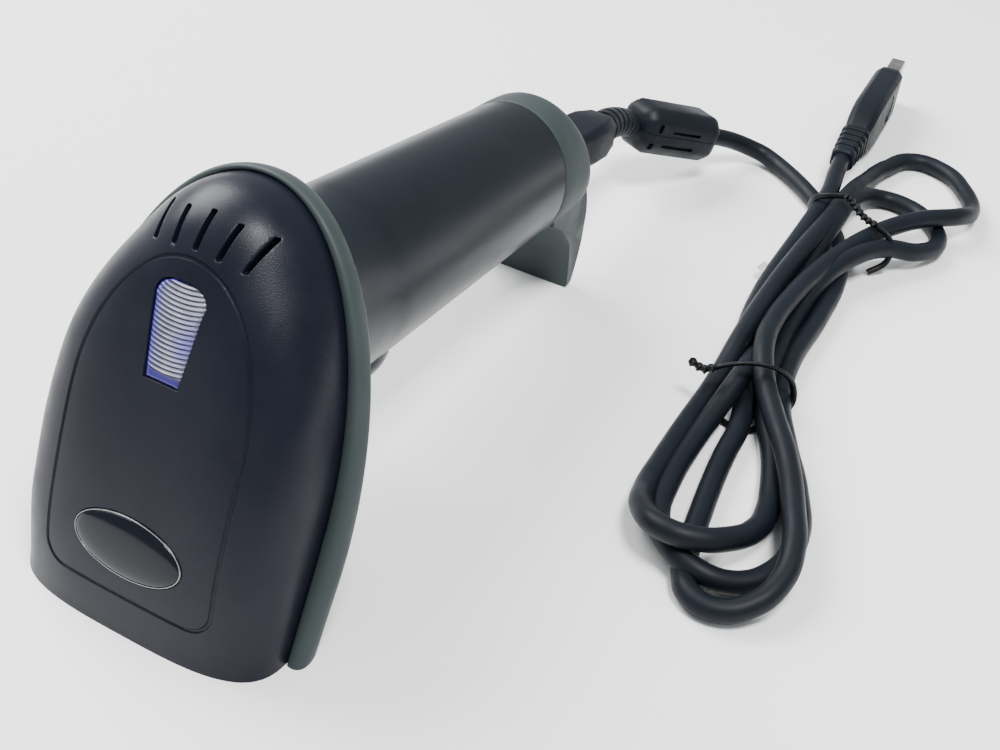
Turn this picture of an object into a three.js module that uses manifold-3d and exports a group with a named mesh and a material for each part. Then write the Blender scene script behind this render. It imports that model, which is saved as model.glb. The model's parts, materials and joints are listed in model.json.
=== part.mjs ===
// Handheld barcode scanner with its data lead, standing on its nose face and on the toe of its handle.
// Millimetres, +Z up. X is across the scanner, +Y runs from the nose to the end of the handle.
// Three frames are used:
//   world   the floor is z = 0, and y = 0 is the front lip of the nose until the last line moves it
//   head    x across, y along the face from nose to crown, z out of the face; z = 0 is the parting plane
//   handle  x across, y along the handle towards its end cap, z towards its back
import * as THREE from 'three';
import { mergeVertices } from 'three/addons/utils/BufferGeometryUtils.js';
import Module from 'manifold-3d';

const wasm = await Module();
wasm.setup();

// ---------------------------------------------------------------- driving dimensions
const GAP = 0.3;                                  // clearance between pieces that touch
const WALL = 2.0;                                 // moulded wall thickness
const SCANNER_LENGTH = 154.8;                     // nose lip to the end of the toe

const HEAD_TILT = THREE.MathUtils.degToRad(66.2); // parting plane above the floor
const HEAD_Y = 13.6;                              // where the parting plane meets the floor
const CROWN = 79.6;                               // crown of the cover, along the face
const COVER_HALF_WIDTH = 28.4;
const ARCH_START = 25;                            // where the sides begin to curve in
const ARCH_POWER = 2.07;
const FACE_HEIGHT = 17.5;                         // flat of the face above the parting plane
const NOSE_DROP = 5.1;                            // how far the face falls at the nose lip
const BELLY_DEPTH = 22;                           // belly below the parting plane at the nose
const BELLY_REAR_DEPTH = 17;

const BUMPER_HALF_WIDTH = 32.5;
const BUMPER_CROWN = 81.0;
const BUMPER_ARCH_START = 20;
const BUMPER_TOP = 1.9;
const BUMPER_BOTTOM = -3.4;

const HANDLE_DROP = THREE.MathUtils.degToRad(5.75);
const SEAM_Y = 134.7;                             // joint between handle and end cap
const SEAM_Z = 35.3;
const SEAM_HALF_WIDTH = 15.5;
const SEAM_HALF_DEPTH = 16.7;
const CAP_LENGTH = 15.5;                          // on the handle's axis
const CAP_SLANT = 0.3;                            // the end face leans by this much per mm of depth

const TRIGGER_PIVOT = [47.6, 27.2];               // y and z
const TRIGGER_WIDTH = 14;
const CELL_RADIUS = 9.1;
const CELL_LENGTH = 65;
const CORD = 5.0;                                 // cord diameter

// ---------------------------------------------------------------- frames
const headFrame = new THREE.Matrix4().makeTranslation(0, HEAD_Y, 0)
  .multiply(new THREE.Matrix4().makeRotationX(HEAD_TILT));
const handleFrame = new THREE.Matrix4().makeTranslation(0, SEAM_Y, SEAM_Z)
  .multiply(new THREE.Matrix4().makeRotationX(-HANDLE_DROP));
const fromWorldToHead = headFrame.clone().invert();

const scanner = new THREE.Group();
const head = new THREE.Group();
head.applyMatrix4(headFrame);
const handle = new THREE.Group();
handle.applyMatrix4(handleFrame);
scanner.add(head, handle);

// ---------------------------------------------------------------- colours
const finish = (color, roughness, metalness = 0) => ({ color, roughness, metalness });
const BLACK_GRAINED = finish(0x15171c, 0.45);
const BLACK_SATIN = finish(0x191c21, 0.35);
const GREY_GREEN = finish(0x48504f, 0.6);
const LENS_WHITE = finish(0xc9ccd6, 0.2);
const WINDOW_RED = finish(0x3a0a10, 0.08);
const BADGE_BLACK = finish(0x08090b, 0.1);
const CHROME = finish(0xc8c8c8, 0.15, 1);
const STEEL = finish(0x9a9c9c, 0.35, 1);
const BRASS = finish(0xb08d4a, 0.35, 1);
const BOARD_GREEN = finish(0x14512f, 0.5);
const CHIP_BLACK = finish(0x1a1a1c, 0.5);
const NYLON = finish(0xd8d6cc, 0.5);
const GLASS = finish(0xbfd0d8, 0.05);
const CELL_WRAP = finish(0x2d6fa3, 0.35);
const CORD_BLACK = finish(0x14161b, 0.5);
const TIE_BLACK = finish(0x0b0b0d, 0.4);

// ---------------------------------------------------------------- solids
// a closed three.js geometry becomes a manifold solid, and back
function solid(geometry) {
  const bare = geometry.index ? geometry.toNonIndexed() : geometry.clone();
  bare.deleteAttribute('normal');
  bare.deleteAttribute('uv');
  const merged = mergeVertices(bare, 1e-4);
  return new wasm.Manifold(new wasm.Mesh({
    numProp: 3,
    vertProperties: merged.attributes.position.array,
    triVerts: Uint32Array.from(merged.index.array),
  }));
}

function geometryOf(body) {
  const mesh = body.getMesh();
  const geometry = new THREE.BufferGeometry();
  geometry.setAttribute('position', new THREE.BufferAttribute(mesh.vertProperties, 3));
  geometry.setIndex(new THREE.BufferAttribute(mesh.triVerts, 1));
  return geometry;
}

function add(group, name, shape, look) {
  const geometry = shape.isBufferGeometry ? shape : geometryOf(shape);
  const mesh = new THREE.Mesh(geometry, new THREE.MeshStandardMaterial(look));
  mesh.name = name;
  group.add(mesh);
  return mesh;
}

const join = (first, ...others) => others.reduce((sum, other) => sum.add(other), first);
const cut = (first, ...others) => others.reduce((rest, other) => rest.subtract(other), first);

function block(x, y, z) {
  const [[x0, x1], [y0, y1], [z0, z1]] = [x, y, z];
  const geometry = new THREE.BoxGeometry(x1 - x0, y1 - y0, z1 - z0);
  return solid(geometry.translate((x0 + x1) / 2, (y0 + y1) / 2, (z0 + z1) / 2));
}

// a cylinder from one point to another; a second radius makes a cone
function rodGeometry(from, to, radius, sides = 16, endRadius = radius) {
  const start = new THREE.Vector3(...from);
  const along = new THREE.Vector3(...to).sub(start);
  const geometry = new THREE.CylinderGeometry(endRadius, radius, along.length(), sides);
  const upright = new THREE.Vector3(0, 1, 0);
  geometry.applyQuaternion(new THREE.Quaternion().setFromUnitVectors(upright, along.clone().normalize()));
  return geometry.translate(...start.addScaledVector(along, 0.5).toArray());
}
const rod = (...given) => solid(rodGeometry(...given));

// a flat outline pushed from z0 to z1
function prismGeometry(shape, z0, z1, curveSegments = 10) {
  const geometry = new THREE.ExtrudeGeometry(shape, { depth: z1 - z0, bevelEnabled: false, curveSegments });
  return geometry.translate(0, 0, z0);
}
const prism = (...given) => solid(prismGeometry(...given));

// an outline in y and z, pushed across x
function sidePrism(shape, x0, x1, curveSegments = 10) {
  const turn = new THREE.Matrix4().makeBasis(
    new THREE.Vector3(0, 1, 0), new THREE.Vector3(0, 0, 1), new THREE.Vector3(1, 0, 0));
  return solid(prismGeometry(shape, x0, x1, curveSegments).applyMatrix4(turn));
}

function ellipseShape(halfX, halfY, centreY = 0) {
  return new THREE.Shape().absellipse(0, centreY, halfX, halfY, 0, 2 * Math.PI);
}

function roundedRectangle(halfX, halfY, radius, centreY = 0) {
  const shape = new THREE.Shape();
  const [right, top] = [halfX - radius, halfY - radius];
  shape.absarc(right, centreY + top, radius, 0, Math.PI / 2);
  shape.absarc(-right, centreY + top, radius, Math.PI / 2, Math.PI);
  shape.absarc(-right, centreY - top, radius, Math.PI, 1.5 * Math.PI);
  shape.absarc(right, centreY - top, radius, 1.5 * Math.PI, 2 * Math.PI);
  return shape;
}

// a closed skin over rings of equal point counts, with fan ends
function loft(rings) {
  const count = rings[0].length;
  const points = rings.flat();
  const triangles = [];
  for (let ring = 0; ring < rings.length - 1; ring++) {
    for (let i = 0; i < count; i++) {
      const next = (i + 1) % count;
      const [a, b] = [ring * count + i, ring * count + next];
      triangles.push(a, b, b + count, a, b + count, a + count);
    }
  }
  for (const [ring, flip] of [[0, true], [rings.length - 1, false]]) {
    const centre = new THREE.Vector3();
    rings[ring].forEach((point) => centre.addScaledVector(point, 1 / count));
    points.push(centre);
    for (let i = 0; i < count; i++) {
      const [a, b] = [ring * count + i, ring * count + (i + 1) % count];
      triangles.push(...(flip ? [b, a] : [a, b]), points.length - 1);
    }
  }
  const geometry = new THREE.BufferGeometry().setFromPoints(points);
  geometry.setIndex(triangles);
  if (signedVolume(points, triangles) < 0) geometry.index.array.reverse();
  return solid(geometry);
}

function signedVolume(points, triangles) {
  let sum = 0;
  for (let i = 0; i < triangles.length; i += 3) {
    const [a, b, c] = [points[triangles[i]], points[triangles[i + 1]], points[triangles[i + 2]]];
    sum += a.dot(new THREE.Vector3().crossVectors(b, c));
  }
  return sum;
}

const placed = (body, matrix) => body.transform(matrix.elements);

// everything under the floor, seen from the head frame
const underFloorWorld = block([-80, 80], [-80, 240], [-80, 0]);
const underFloorHead = placed(underFloorWorld, fromWorldToHead);

// ---------------------------------------------------------------- head shape
// half-width of an arch: straight sides, then a rounded crown
function archHalfWidth(y, halfWidth, start, crown) {
  const reach = Math.min(Math.max((y - start) / (crown - start), 0), 1);
  return halfWidth * (1 - reach ** ARCH_POWER) ** (1 / ARCH_POWER);
}

// stations along an arch, closer together towards the crown
function archStations(first, start, crown, straightSteps, curvedSteps) {
  const stations = [];
  for (let i = 0; i < straightSteps; i++) stations.push(first + (start - first) * i / straightSteps);
  for (let i = 0; i <= curvedSteps; i++) {
    const angle = (Math.PI / 2) * Math.min(i / curvedSteps, 0.985);
    stations.push(start + (crown - start) * Math.sin(angle));
  }
  return stations;
}

// how high the face stands above the parting plane
function faceHeight(y) {
  const flat = 44;
  if (y < flat) return FACE_HEIGHT - NOSE_DROP * ((flat - y) / 49.5) ** 3;
  return FACE_HEIGHT * Math.sqrt(Math.max(1 - ((y - flat) / (CROWN - flat)) ** 4.6, 0));
}

// how deep the belly hangs below it
function bellyDepth(y) {
  const rear = 42;
  if (y < rear) return BELLY_REAR_DEPTH + (BELLY_DEPTH - BELLY_REAR_DEPTH) * Math.min((rear - y) / 33, 1.4);
  return BELLY_REAR_DEPTH * Math.sqrt(Math.max(1 - ((y - rear) / (CROWN - rear)) ** 2.4, 0));
}

// how square the cover's cross-section is: squarer along the flat face, round at the crown
function coverPower(y) {
  if (y < 12) return 3.2 + 0.8 * Math.max(y, 0) / 12;
  return y < 45 ? 4 : Math.max(4 - 2 * (y - 45) / 21, 2);
}

// a half-body of the head, shrunk by inset, reaching past the parting plane by tail
function headHalf(inset, tail, heightOf, powerOf, side, arcPoints, straightSteps, curvedSteps) {
  const crown = CROWN - inset;
  const rings = archStations(-16, ARCH_START, crown, straightSteps, curvedSteps).map((y) => {
    const halfWidth = Math.max(archHalfWidth(y, COVER_HALF_WIDTH - inset, ARCH_START, crown), 0.4);
    const shrunk = heightOf(Math.min(y + inset * (y / CROWN), CROWN - 0.05)) - inset;
    const height = Math.max(shrunk, 0.2);
    const power = powerOf(y);
    const ring = [new THREE.Vector3(halfWidth, y, -side * tail)];
    for (let i = 0; i <= arcPoints; i++) {
      const angle = Math.PI * i / arcPoints;
      const [c, s] = [Math.cos(angle), Math.abs(Math.sin(angle))];
      ring.push(new THREE.Vector3(
        halfWidth * Math.sign(c) * Math.abs(c) ** (2 / power), y, side * height * s ** (2 / power)));
    }
    ring.push(new THREE.Vector3(-halfWidth, y, -side * tail));
    return ring;
  });
  return loft(rings);
}
const coarseCover = (inset, tail) => headHalf(inset, tail, faceHeight, coverPower, 1, 20, 4, 8);
const coverBody = (inset, tail = 2, arc = 28, straight = 5, curved = 11) =>
  headHalf(inset, tail, faceHeight, coverPower, 1, arc, straight, curved);
const bellyBody = (inset, tail = 2, arc = 18, straight = 3, curved = 8) =>
  headHalf(inset, tail, bellyDepth, () => 2.8, -1, arc, straight, curved);

// keeps what lies above or below a level in the head frame
const aboveLevel = (level) => block([-90, 90], [-90, 150], [level, 90]);
const belowLevel = (level) => block([-90, 90], [-90, 150], [-90, level]);

// ---------------------------------------------------------------- handle shape
// half-width and half-depth of the handle's section, along its axis
function handleSection(y) {
  const toSeam = Math.min(-y / 70, 1);
  const flare = Math.max((-y - 72) / 28, 0) ** 1.6;
  return [SEAM_HALF_WIDTH + 1.4 * toSeam + 4.6 * flare, SEAM_HALF_DEPTH + 2.5 * toSeam + 4.2 * flare];
}

function handleRing(y, halfWidth, halfDepth, points, slant = 0) {
  return Array.from({ length: points }, (_, i) => {
    const angle = 2 * Math.PI * i / points;
    const z = halfDepth * Math.sin(angle);
    return new THREE.Vector3(halfWidth * Math.cos(angle), y - slant * z, z);
  });
}

function handleBody(inset, from, to, steps, points) {
  const rings = [];
  for (let i = 0; i <= steps; i++) {
    const y = from + (to - from) * i / steps;
    const [halfWidth, halfDepth] = handleSection(Math.min(y, 0));
    rings.push(handleRing(y, halfWidth - inset, halfDepth - inset, points));
  }
  return loft(rings);
}

// ---------------------------------------------------------------- head cover and what is on it
const SLOTS = [[0, 67.0, 73.3, 0.8], [4.9, 66.5, 72.3, 0.75], [10.0, 65.9, 71.9, 0.7]];
const COVER_SCREWS = [[-20, 14], [20, 14]];
const LENS = { low: 43.7, high: 60.0, bulge: 1.5, lowHalf: 3.6, highHalf: 5.4 };
const BADGE = { y: 12.8, halfX: 11.9, halfY: 6.0 };
const PANEL = { low: 2.9, halfX: 18.4, shoulder: 36, crown: 65.4, corner: 4.6, line: 0.8 };

// a plane wedge outline: narrow at the nose end, wide and rounded towards the crown
function lensShape(shrink) {
  const { low, high, bulge, lowHalf, highHalf } = LENS;
  const round = 2.4;
  const shape = new THREE.Shape();
  shape.moveTo(-lowHalf + shrink, low + shrink);
  shape.lineTo(lowHalf - shrink, low + shrink);
  shape.lineTo(highHalf - shrink, high - round);
  shape.quadraticCurveTo(highHalf - shrink, high - shrink, highHalf - round, high - shrink);
  shape.quadraticCurveTo(0, high + 2 * bulge - shrink, -highHalf + round, high - shrink);
  shape.quadraticCurveTo(-highHalf + shrink, high - shrink, -highHalf + shrink, high - round);
  return shape;
}

// the arch drawn on the face, as an outline that can be shrunk
function panelShape(shrink) {
  const [low, halfX, corner] = [PANEL.low + shrink, PANEL.halfX - shrink, PANEL.corner - shrink];
  const shape = new THREE.Shape();
  shape.absarc(halfX - corner, low + corner, corner, -Math.PI / 2, 0);
  shape.absellipse(0, PANEL.shoulder, halfX, PANEL.crown - PANEL.shoulder - shrink, 0, Math.PI);
  shape.absarc(-halfX + corner, low + corner, corner, Math.PI, 1.5 * Math.PI);
  return shape;
}

function slotCutters() {
  const cutters = [];
  for (const [x, low, high, half] of SLOTS) {
    for (const side of x === 0 ? [1] : [-1, 1]) {
      const outline = roundedRectangle(half, (high - low) / 2 + half, half, (high + low) / 2);
      cutters.push(prism(outline, 2, 30, 3).translate([side * x, 0, 0]));
    }
  }
  return cutters;
}

function makeCover() {
  const outer = coverBody(0);
  const inner = coarseCover(WALL, 3);
  const line = cut(prism(panelShape(0), 4, 30, 8), prism(panelShape(PANEL.line), 3, 31, 8));
  const groove = cut(line, coverBody(0.4));
  const badgeOutline = ellipseShape(BADGE.halfX, BADGE.halfY, BADGE.y);
  const badgeRecess = cut(prism(badgeOutline, 4, 30, 10), coarseCover(0.8, 2));
  const filling = coarseCover(0.8, 2);
  const bosses = COVER_SCREWS.map(([x, y]) => rod([x, y, 0.2], [x, y, 16], 3, 12).intersect(filling));
  const pilots = COVER_SCREWS.map(([x, y]) => rod([x, y, -1], [x, y, 8], 1.5, 10));
  const posts = [-7.4, 7.4].map((x) => rod([x, 52, 10.2], [x, 52, 16.6], 1.5, 8));
  const shell = join(cut(outer, inner), ...bosses, ...posts);
  const opening = prism(lensShape(0), 2, 30, 4);
  return cut(shell, groove, badgeRecess, opening, ...slotCutters(), ...pilots,
    belowLevel(0.15), underFloorHead);
}

// a piece set into the cover's surface: an outline between two skins of the cover
function inlay(outline, outerInset, innerInset, segments) {
  const plug = prism(outline, 4, 30, segments).intersect(coarseCover(outerInset, 2));
  return cut(plug, coarseCover(innerInset, 3));
}

add(head, 'head_cover', makeCover(), BLACK_GRAINED);
add(head, 'indicator_lens', inlay(lensShape(GAP), 0.3, 2.6, 4), LENS_WHITE);

function makeBadge() {
  const rimOutline = ellipseShape(BADGE.halfX - GAP, BADGE.halfY - GAP, BADGE.y);
  const holeOutline = ellipseShape(BADGE.halfX - 1, BADGE.halfY - 1, BADGE.y);
  const plateOutline = ellipseShape(BADGE.halfX - 1.3, BADGE.halfY - 1.3, BADGE.y);
  const rim = cut(inlay(rimOutline, -0.6, 0.45, 10), prism(holeOutline, 2, 32, 10));
  add(head, 'badge_rim', rim, CHROME);
  add(head, 'badge_plate', inlay(plateOutline, -0.8, 0.45, 10), BADGE_BLACK);
}
makeBadge();

// ---------------------------------------------------------------- bumper rim
// a horseshoe that follows the parting line from one side of the nose over the crown to the other
function bumperRing(inner, outer) {
  const lift = 1.3 * Math.max(20 - inner[1], 0) / 26;
  const top = BUMPER_TOP + lift;
  const section = [[0, BUMPER_BOTTOM], [0, top], [0.7, top + 0.3], [0.93, top - 0.6], [1, top - 2.2],
    [0.8, BUMPER_BOTTOM + 1.2], [0.5, BUMPER_BOTTOM]];
  return section.map(([share, z]) => new THREE.Vector3(
    inner[0] + (outer[0] - inner[0]) * share, inner[1] + (outer[1] - inner[1]) * share, z));
}

function makeBumper() {
  const innerHalf = COVER_HALF_WIDTH + GAP;
  const rings = [];
  const quarter = 13;
  const pointOn = (angle, halfWidth, start, crown) => {
    const reach = Math.sin(angle);
    return [halfWidth * (1 - reach ** ARCH_POWER) ** (1 / ARCH_POWER), start + (crown - start) * reach];
  };
  for (const [y, taper] of [[-8, 0.9], [6, 0.4], [15, 0]]) {
    rings.push(bumperRing([innerHalf, y], [BUMPER_HALF_WIDTH - taper, y]));
  }
  for (let i = 0; i <= quarter; i++) {
    const angle = (Math.PI / 2) * i / quarter;
    rings.push(bumperRing(
      pointOn(angle, innerHalf, ARCH_START, CROWN + GAP),
      pointOn(angle, BUMPER_HALF_WIDTH, BUMPER_ARCH_START, BUMPER_CROWN)));
  }
  const mirrored = rings.slice(0, -1).reverse()
    .map((ring) => ring.map((point) => new THREE.Vector3(-point.x, point.y, point.z)));
  return cut(loft([...rings, ...mirrored]), underFloorHead);
}
add(head, 'bumper_rim', makeBumper(), GREY_GREEN);

// ---------------------------------------------------------------- body shell and grip cover
const GRIP_END = -6.5;                // the grip cover's rounded end, in the handle frame
const GRIP_HALF_WIDTH = 12.3;
const GRIP_TOP = -4;
const POCKET = { y0: 44.6, y1: 69.5, z1: 29 };

// the trigger's window through the shell, in world axes
const pocketCutter = (half) => block([-half, half], [POCKET.y0, POCKET.y1], [6, POCKET.z1]);

// the grip cover's outline in the handle frame: square at the trigger, rounded at the end
function gripOutline(grow) {
  const half = GRIP_HALF_WIDTH + grow;
  const start = fromGrip(POCKET.y1 + 1.4) - grow;
  const end = GRIP_END + grow;
  const shape = new THREE.Shape();
  shape.moveTo(-half, start);
  shape.lineTo(half, start);
  shape.lineTo(half, end - half * 0.8);
  shape.absellipse(0, end - half * 0.8, half, half * 0.8, 0, Math.PI);
  return shape;
}

// a world y on the handle's underside, as a length along the handle's axis
function fromGrip(worldY) {
  return (worldY - SEAM_Y) / Math.cos(HANDLE_DROP);
}

function outerShellWorld() {
  const belly = placed(bellyBody(0, 0), headFrame);
  const tube = placed(handleBody(0, -112, -GAP, 9, 30), handleFrame);
  const cheeks = placed(cheekBody(), handleFrame);
  return join(belly, tube, cheeks);
}

// the swelling of the handle beside the trigger
function cheekBody() {
  const rings = [];
  for (let i = 0; i <= 8; i++) {
    const share = i / 8;
    const size = Math.sqrt(Math.max(1 - (2 * share - 1) ** 2, 0.02));
    rings.push(handleRing(-87 + 30 * share, 12.5 * size, 7.5 * size, 16)
      .map((point) => point.add(new THREE.Vector3(0, 0, -14.2))));
  }
  return loft(rings);
}

function makeShells() {
  const crossing = placed(aboveLevel(-GAP), headFrame);
  const bellyHollow = placed(bellyBody(WALL, 6, 14, 3, 7), headFrame);
  const tubeHollow = placed(handleBody(WALL, -108, 6, 8, 22), handleFrame);
  const outer = cut(outerShellWorld(), crossing, underFloorWorld);
  const hollowed = cut(outer, bellyHollow, tubeHollow);
  const columns = COVER_SCREWS.map(([x, y]) =>
    placed(rod([x, y, -24], [x, y, -0.5], 3.6, 12), headFrame).intersect(cut(outer, pocketCutter(9))));
  const ribs = [-13, 13].map((x) =>
    placed(block([x - 0.8, x + 0.8], [18, 38], [-21, -14.5]), headFrame).intersect(outer));
  const full = join(hollowed, ...columns, ...ribs);
  const drills = COVER_SCREWS.flatMap(([x, y]) => [
    placed(rod([x, y, -30], [x, y, -7], 2.7, 12), headFrame),
    placed(rod([x, y, -9], [x, y, 1], 1.5, 10), headFrame)]);
  const pinBore = rod([-20, ...TRIGGER_PIVOT], [20, ...TRIGGER_PIVOT], 1.3, 10);
  const gripRegion = placed(prism(gripOutline(0), -40, GRIP_TOP, 8), handleFrame);
  const gripRoom = placed(prism(gripOutline(GAP), -40, GRIP_TOP + GAP, 8), handleFrame);
  const capScrewBores = CAP_SCREWS.map(([x, z]) => placed(rod([x, -9, z], [x, 2, z], 1.1, 8), handleFrame));
  const capBosses = CAP_SCREWS.map(([x, z]) =>
    placed(rod([x, -8, z], [x, -GAP, z], 2.4, 10), handleFrame).intersect(outer));
  const pocket = pocketCutter(TRIGGER_WIDTH / 2 + 0.5);
  const shell = cut(join(full, ...capBosses), gripRoom, pocket, ...drills, pinBore, ...capScrewBores);
  const grip = cut(hollowed.intersect(gripRegion), pocket);
  return { shell, grip };
}

const CAP_SCREWS = [[-8.6, 9.2], [8.6, 9.2]];
const shells = makeShells();
add(scanner, 'body_shell', shells.shell, BLACK_SATIN);
add(scanner, 'grip_cover', shells.grip, BLACK_SATIN);

// ---------------------------------------------------------------- end cap with its toe
function capBody(inset, from, length) {
  const stations = [[0, 1], [0.5, 1], [0.82, 0.985], [0.95, 0.95], [1, 0.9]];
  return loft(stations.map(([share, scale]) => {
    const y = from + (length - from) * share;
    const halfWidth = (SEAM_HALF_WIDTH + 0.2) * scale - inset;
    const halfDepth = (SEAM_HALF_DEPTH + 0.2) * scale - inset;
    return handleRing(y, halfWidth, halfDepth, 30, CAP_SLANT * share);
  }));
}

// side view of the toe that props the handle: a blade that curves down to a flat foot
function toeShape() {
  const shape = new THREE.Shape();
  shape.moveTo(136.5, 21.5);
  shape.quadraticCurveTo(147.4, 16.5, 149.0, 0);
  shape.lineTo(151.6, 0);
  shape.quadraticCurveTo(154.2, 8, 154.7, 21);
  shape.quadraticCurveTo(154.6, 27.5, 151.5, 31);
  shape.lineTo(140, 28);
  return shape;
}

function makeCap() {
  const toe = sidePrism(toeShape(), -13.2, 13.2, 6);
  const toeTaper = new THREE.Shape([
    new THREE.Vector2(-12.5, -1), new THREE.Vector2(12.5, -1), new THREE.Vector2(13.2, 20),
    new THREE.Vector2(11.2, 34), new THREE.Vector2(-11.2, 34), new THREE.Vector2(-13.2, 20)]);
  const across = new THREE.Matrix4().makeBasis(
    new THREE.Vector3(1, 0, 0), new THREE.Vector3(0, 0, 1), new THREE.Vector3(0, -1, 0));
  const front = solid(prismGeometry(toeTaper, -170, -120).applyMatrix4(across));
  const outside = join(placed(capBody(0, 0, CAP_LENGTH), handleFrame), toe.intersect(front));
  const inside = placed(capBody(2.2, -4, CAP_LENGTH - 2.4), handleFrame);
  const socketHole = placed(block([-6.3, 6.3], [5, 24], [-7.8, 2.8]), handleFrame);
  const screwHoles = CAP_SCREWS.flatMap(([x, z]) => [
    placed(rod([x, -2, z], [x, 30, z], 1.4, 10), handleFrame),
    placed(rod([x, 4.4, z], [x, 30, z], 2.6, 12), handleFrame)]);
  const padBounds = capBody(0.3, 0, CAP_LENGTH);
  const pads = CAP_SCREWS.map(([x, z]) =>
    placed(rod([x, GAP, z], [x, CAP_LENGTH - 2, z], 3.2, 12).intersect(padBounds), handleFrame));
  return cut(join(cut(outside, inside), ...pads), socketHole, ...screwHoles,
    placed(block([-60, 60], [-60, 0], [-60, 60]), handleFrame));
}
add(scanner, 'end_cap', makeCap(), GREY_GREEN);

// ---------------------------------------------------------------- nose bezel and scan window
function makeNose() {
  const bothHalves = join(coarseCover(WALL + GAP, 1), bellyBody(WALL + GAP, 1, 14, 3, 7));
  const slab = block([-60, 60], [-20, 80], [0, 3.6]);
  const opening = prism(roundedRectangle(19, 10.5, 3, 20.5), -1, 6, 3);
  const columnRoom = COVER_SCREWS.map(([x, y]) => placed(rod([x, y, -30], [x, y, 30], 4.4, 12), headFrame));
  const bezel = cut(placed(bothHalves, headFrame).intersect(slab), opening, ...columnRoom);
  add(scanner, 'nose_bezel', bezel, BLACK_SATIN);
  const pane = prism(roundedRectangle(20.5, 12, 3, 20.5), 3.9, 5.3, 3);
  add(scanner, 'scan_window', cut(pane, ...columnRoom), WINDOW_RED);
}
makeNose();

// ---------------------------------------------------------------- trigger, its pin, spring and switch
const SWITCH_Y = 57.6;                // ten millimetres beyond the pivot
const SPRING_Y = 63.6;

function triggerShape() {
  const [y, z] = TRIGGER_PIVOT;
  const shape = new THREE.Shape();
  shape.moveTo(y - 2.2, z - 2.2);
  shape.quadraticCurveTo(y - 0.2, z - 9.5, y + 6, z - 12.4);
  shape.quadraticCurveTo(y + 12, z - 14, y + 18.6, z - 11.6);
  shape.quadraticCurveTo(y + 20.4, z - 10.6, y + 19.8, z - 8.6);
  shape.quadraticCurveTo(y + 19.2, z - 5.6, y + 18.2, z - 4.4);
  shape.lineTo(y + 12.4, z - 3.2);
  shape.lineTo(y + 11.6, z - 1.0);
  shape.lineTo(y + 8.4, z - 1.0);
  shape.lineTo(y + 7.4, z - 2.6);
  shape.lineTo(y + 2.9, z - 1.0);
  shape.absarc(y, z, 3, 0, 1.25 * Math.PI);
  return shape;
}

function makeTrigger() {
  const half = TRIGGER_WIDTH / 2;
  const bore = rod([-20, ...TRIGGER_PIVOT], [20, ...TRIGGER_PIVOT], 1.4, 12);
  add(scanner, 'trigger', cut(sidePrism(triggerShape(), -half, half, 5), bore), GREY_GREEN);
  add(scanner, 'trigger_pin', rod([-9.4, ...TRIGGER_PIVOT], [9.4, ...TRIGGER_PIVOT], 1.0, 12), STEEL);
}
makeTrigger();

// a compression spring, as a solid coil of square turns around the upright axis
function makeSpring() {
  const [turns, radius, wire, steps] = [4, 1.9, 0.3, 40];
  const [bottom, height] = [23.7, 6.6];
  const points = Array.from({ length: steps + 1 }, (_, i) => {
    const angle = 2 * Math.PI * turns * i / steps;
    return new THREE.Vector3(radius * Math.cos(angle), SPRING_Y + radius * Math.sin(angle),
      bottom + height * i / steps);
  });
  const section = new THREE.Shape().absarc(0, 0, wire, 0, 2 * Math.PI);
  const extrudePath = new THREE.CatmullRomCurve3(points);
  return new THREE.ExtrudeGeometry(section, { steps, extrudePath, curveSegments: 3, bevelEnabled: false });
}
add(scanner, 'trigger_spring', solid(makeSpring()), STEEL);

function makeSwitch() {
  const [y, top] = [SWITCH_Y, 26.5];
  const stem = rod([0, y, top], [0, y, top + 2.5], 1.2, 10);
  const plunger = join(stem, rod([0, y, top + 2.4], [0, y, top + 3.4], 1.9, 10));
  add(scanner, 'switch_plunger', plunger, NYLON);
  const housing = block([-3.2, 3.2], [y - 3.2, y + 3.2], [top + 1.6, top + 6.4]);
  const stemRoom = rod([0, y, top], [0, y, top + 3], 1.5, 10);
  const headRoom = rod([0, y, top + 2.1], [0, y, top + 5.4], 2.2, 10);
  add(scanner, 'switch_body', cut(housing, stemRoom, headRoom), CHIP_BLACK);
}
makeSwitch();

// ---------------------------------------------------------------- handle internals, in the handle frame
const BOARD_Z = -7.6;
const CELL_Y = -10.5;                 // the end of the cell nearest the cap
const CELL_Z = 4.6;

function makeElectronics() {
  const board = block([-9.6, 9.6], [-80, -10.4], [BOARD_Z, BOARD_Z + 1.2]);
  add(handle, 'main_board', board, BOARD_GREEN);
  add(handle, 'processor_chip', block([-3.6, 3.6], [-44, -36.8], [BOARD_Z - 1.5, BOARD_Z - GAP]), CHIP_BLACK);
  add(handle, 'memory_chip', block([-3, 3], [-31, -26.6], [BOARD_Z - 1.4, BOARD_Z - GAP]), CHIP_BLACK);
  add(handle, 'radio_module', block([-5, 5], [-66, -52], [BOARD_Z - 1.9, BOARD_Z - GAP]), STEEL);
  const buzzer = rod([0, -18, BOARD_Z - 4.2], [0, -18, BOARD_Z - GAP], 4.2, 16);
  const soundHole = rod([0, -18, BOARD_Z - 5], [0, -18, BOARD_Z - 3], 0.9, 8);
  add(handle, 'buzzer', cut(buzzer, soundHole), CHIP_BLACK);
}
makeElectronics();

function makeCell() {
  const far = CELL_Y - CELL_LENGTH;
  const can = rod([0, far, CELL_Z], [0, CELL_Y - 0.8, CELL_Z], CELL_RADIUS, 20);
  const nipple = rod([0, CELL_Y - 1, CELL_Z], [0, CELL_Y, CELL_Z], 2.8, 12);
  add(handle, 'battery_cell', join(can, nipple), CELL_WRAP);
  for (const [name, y0] of [['contact_front', far - 1.1], ['contact_rear', CELL_Y + GAP]]) {
    add(handle, name, block([-4.5, 4.5], [y0, y0 + 0.8], [CELL_Z - 6, CELL_Z + 6]), BRASS);
  }
}
makeCell();

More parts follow.
